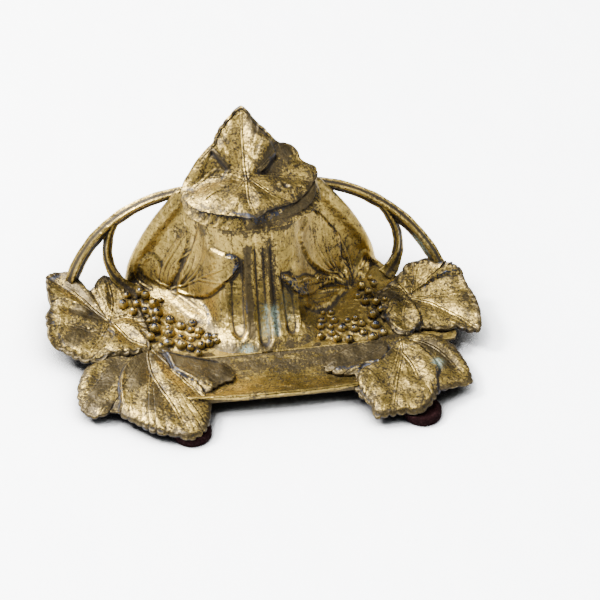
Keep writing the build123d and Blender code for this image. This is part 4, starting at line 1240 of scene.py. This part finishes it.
def make_lid():
    cols, rows, drop = int(520 * FINE), int(74 * FINE), int(18 * FINE)
    edge, phase = toothed(spline(LID_EDGE, cols, closed=True), 5, 0.6, 9)
    middle = np.array(LID_MIDDLE)
    t = (np.linspace(0.03, 1, rows) ** 0.9)[:, None]
    x = middle[0] + (edge[:, 0] - middle[0]) * t
    y = middle[1] + (edge[:, 1] - middle[1]) * t
    tall = edge[:, 2] > middle[2]
    bow = np.where(tall, 1.08, 1.7)
    z = middle[2] + (edge[:, 2] - middle[2]) * t ** bow
    z = z - LID_SAG * np.sin(math.pi * t) * smooth_step((edge[:, 2] - 70) / 8)
    depth = np.linalg.norm(edge[:, :2] - middle[:2], axis=1) * (1 - t)
    base = np.stack([x, y, z], axis=-1)
    relief = leaf_height(x, y, depth, LID_VEINS, LID_FOLDS, (), 2, phase, swell=1.0, branching=0.03)
    dimple = np.hypot(x - 11.9, y - 19.9)
    relief += 0.35 * ridge(dimple - 1.9, 0.8) - 1.2 * ridge(dimple, 1.1)
    normal = grid_normals(base, True)
    normal *= np.sign(normal[..., 2:])
    top = base + normal * relief[..., None]
    skirt = smooth_step((70 - edge[:, 2]) / 7)
    rim = top[-1].copy()
    foot_z = rim[:, 2] - (rim[:, 2] - SKIRT_Z) * skirt - 1.6 * (1 - skirt)
    outward = rim[:, :2] - middle[:2]
    length = np.linalg.norm(outward, axis=1)
    outward /= length[:, None]
    foot = ray_reach(LID_FOOT, middle[0], middle[1], np.arctan2(outward[:, 1], outward[:, 0]))
    flare = np.clip(foot - length, 0, 6) * skirt * smooth_step((34 - rim[:, 1]) / 4)
    walls = []
    for step in np.linspace(0, 1, drop + 1)[1:]:
        ring = rim.copy()
        ring[:, 2] = rim[:, 2] + (foot_z - rim[:, 2]) * step
        undercut = 1.1 * min(step / 0.12, 1) * (1 - step) * skirt
        pinch = flare * step ** 1.5 - undercut
        scallop = 0.3 * np.cos(phase * 2) * skirt * math.sin(math.pi * step)
        ring[:, :2] = rim[:, :2] + outward * (pinch + scallop)[:, None]
        walls.append(ring)
    outer = np.concatenate([top, np.array(walls)])
    inner = outer.copy()
    at_margin = 1 - np.clip(depth / 1.5, 0, 1)
    inner[:rows] = base - normal * LID_WALL
    inner[:rows, :, :2] -= outward[None] * (at_margin * SKIRT_WALL)[..., None]
    inner[rows:, :, :2] -= outward[None] * SKIRT_WALL
    build = Builder()
    build.sheet(outer, inner, wrap=True, rounding=0.3)
    lid = build.make("lid_vine_leaf", "lid", "gilt_brass", "lid_leaf")
    worn = [
        ([(-1, 47, 83.6), (-2.6, 48.6, 84.4), (-5, 47, 82.8)], 1.5, 0.8),
        ([(0, 46, 82.6), (1.6, 41, 78.6)], 1.2, 0.6),
        ([(-2, 3.4, 58), (4, 6, 58), (10, 9.5, 57.5)], 2.0, 0.8),
        ([(-15, 8.6, 60.2), (-8, 6, 60.6), (-2.4, 3.8, 60.6)], 1.0, 0.9),
        ([(9, 27, 69), (12, 30, 70), (14, 33, 71.5)], 3.4, 0.75),
        ([(-29, 28.5, 58.5), (-26, 24.5, 60)], 2.6, 0.7),
    ]
    dull = [
        *[(spline(line, 12).tolist(), 0.7, 1.6) for line, _, _ in LID_FOLDS[:2]],
        ([(9, 27, 68), (13, 31, 70), (15, 36, 70)], 4.5, 1.0),
        ([(0.6, 45, 82), (3, 39, 78)], 1.8, 0.8),
        # Painted shade on the front skirt, and a painted shade line along the leaf's edge above it.
        ([(-4, 2.5, 56), (4, 4, 57), (12, 8, 57), (22, 18, 57), (25, 26, 58)], 2.6, 0.7),
        ([(-28, 24, 59), (-21.5, 13.4, 58.6), (-15.3, 8.9, 59.6), (-8.1, 6.1, 60), (-2.4, 3.9, 60),
          (3.7, 7.2, 60), (9.4, 9.8, 59.6), (15.1, 13, 58.6), (20.3, 18.8, 58.2), (25, 27, 59)], 0.8, 1.3),
    ]
    age(lid, worn=worn, dull=dull, shade=0.4)
    return lid


# ---------------------------------------------------------------- felt pads
def make_pad(node):
    low, high = box_mm(node)
    x, y = (low[:2] + high[:2]) / 2
    radius = (high[0] - low[0]) / 2
    around = int(150 * FINE)
    turn = np.linspace(0, 2 * math.pi, around, endpoint=False)
    profile = [(0.4, low[2]), (radius - 0.9, low[2]), (radius - 0.25, low[2] + 0.3), (radius, low[2] + 0.9),
               (radius - 0.1, high[2] - 1), (radius - 0.3, high[2] - 0.35), (radius - 0.9, high[2]),
               (radius * 0.5, high[2]), (0.4, high[2])]
    dense = spline(profile, 60)
    rings = []
    for r, z in np.clip(dense, (0, low[2]), (radius, high[2])):
        fuzz = 0.07 * np.sin(turn * 53 + z * 9) + 0.05 * np.sin(turn * 91 - z * 13 + r)
        reach = r + fuzz * smooth_step((r - radius + 1.5) / 1.2) - 0.08
        rings.append(np.stack([x + reach * np.cos(turn), y + reach * np.sin(turn), z + 0 * turn], axis=1))
    build = Builder()
    build.tube(rings)
    return build.make(node.replace("felt_pad", "felt_disc"), "stand", "felt", node)


# ---------------------------------------------------------------- the whole inkstand
def build_inkstand():
    body_gilt = gilt("gilt_body", mottled=0.4, dark=-0.008, streaks=(1.0, 0.2, 0.2))
    channel_gilt = gilt("gilt_channel", mottled=0.7, streaks=(0.2, 1.0, 1.0))
    leaf_gilt = gilt("gilt_leaf", mottled=0.9, dark=0.022, matte=0.1)
    # A lightened copy of the gilt, with less tarnish, for the deck and grape grounds: painted light where
    # they catch little real light.
    lightened_tray_gilt = gilt("gilt_tray", mottled=0.2, dark=-0.035, matte=0.12)
    band_gilt = gilt("gilt_band", mottled=0.5, dark=-0.006)
    back_gilt = gilt("gilt_back", mottled=0.7, dark=0.25)
    brass = plain_metal("worn_brass", (0.55, 0.4, 0.18, 1), (0.2, 0.14, 0.07, 1), 0.3, 0.3)
    steel = plain_metal("dull_steel", (0.42, 0.42, 0.42, 1), (0.2, 0.19, 0.18, 1), 0.35, 0.3)
    glass = pot_glass("pot_glass")
    maroon = felt("maroon_felt")

    dressed = {
        body_gilt: [make_bell()],
        channel_gilt: [make_channel()],
        lightened_tray_gilt: [make_deck()],
        back_gilt: [make_well()],
        leaf_gilt: [rear_left_leaf(), front_left_leaf(), front_right_leaf(), rear_right_leaf(), make_lid()],
        band_gilt: make_handles(),
    }
    dressed[lightened_tray_gilt] += [
        make_grapes("grapes_left", "left_grapes", LEFT_GRAPES, LEFT_GROUND),
        make_grapes("grapes_right", "right_grapes", RIGHT_GRAPES, RIGHT_GROUND),
    ]
    corners = ("front_left", "front_right", "rear_left", "rear_right")
    dressed[maroon] = [make_pad(f"felt_pad_{corner}") for corner in corners]
    for material, pieces in dressed.items():
        for piece in pieces:
            piece.data.materials.append(material)

    carried = {
        back_gilt: ["tray_base", "hinge_bracket", "lid_plate"],
        brass: ["lid_collar", "lid_hinge_strap", "lid_rivets", "hinge_pin"],
        steel: ["housing_screws"],
        glass: ["ink_pot"],
    }
    for material, nodes in carried.items():
        for node in nodes:
            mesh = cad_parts[node].data
            mesh.materials.clear()
            mesh.materials.append(material)


def area_light(name, place, target, size, power, colour):
    data = bpy.data.lights.new(name, "AREA")
    data.shape = "DISK"
    data.size = size
    data.energy = power
    data.color = colour
    light = bpy.data.objects.new(name, data)
    light.location = Vector(place)
    light.rotation_euler = (Vector(target) - Vector(place)).to_track_quat("-Z", "Y").to_euler()
    bpy.context.collection.objects.link(light)


def build_stage():
    bpy.ops.mesh.primitive_plane_add(size=6, location=(0, 0, 0))
    floor = bpy.context.active_object
    floor.name = "floor"
    floor.data.materials.append(floor_paper("floor_paper"))

    world = bpy.data.worlds.new("daylight")
    world.use_nodes = True
    tree = world.node_tree
    background = tree.nodes["Background"]
    coordinates = tree.nodes.new("ShaderNodeTexCoord")
    facing = tree.nodes.new("ShaderNodeVectorMath")
    facing.operation = "DOT_PRODUCT"
    facing.inputs[1].default_value = Vector((-0.5, 0.25, 0.83)).normalized()
    ramp = tree.nodes.new("ShaderNodeValToRGB")
    tree.links.new(coordinates.outputs["Generated"], facing.inputs[0])
    tree.links.new(facing.outputs["Value"], ramp.inputs[0])
    stops = ramp.color_ramp.elements
    stops.new(0.8)
    sky = [(0.3, (0.03, 0.032, 0.036, 1)), (0.8, (0.22, 0.23, 0.24, 1)), (0.97, (1.0, 1.0, 1.0, 1))]
    for stop, (position, colour) in zip(stops, sky):
        stop.position = position
        stop.color = colour
    tree.links.new(ramp.outputs[0], background.inputs["Color"])
    background.inputs["Strength"].default_value = 1.9
    bpy.context.scene.world = world

    target = (0, 0, 0.02)
    area_light("window", (-0.82, 0.32, 0.95), target, 0.35, 63, (1, 0.975, 0.93))
    area_light("overhead", (-0.45, -0.12, 1.3), target, 0.3, 19, (1, 0.98, 0.95))
    area_light("fill", (0.75, -0.1, 0.85), target, 0.25, 5, (1, 0.98, 0.95))

    lens = bpy.data.cameras.new("camera")
    lens.lens = 104
    lens.clip_start = 0.01
    camera = bpy.data.objects.new("camera", lens)
    aim = Vector((0.0192, 0.0277, -0.0052))
    camera.location = (-0.0624, -0.553, 0.4782)
    camera.rotation_euler = (aim - camera.location).to_track_quat("-Z", "Y").to_euler()
    bpy.context.collection.objects.link(camera)
    bpy.context.scene.camera = camera


build_stage()
build_inkstand()
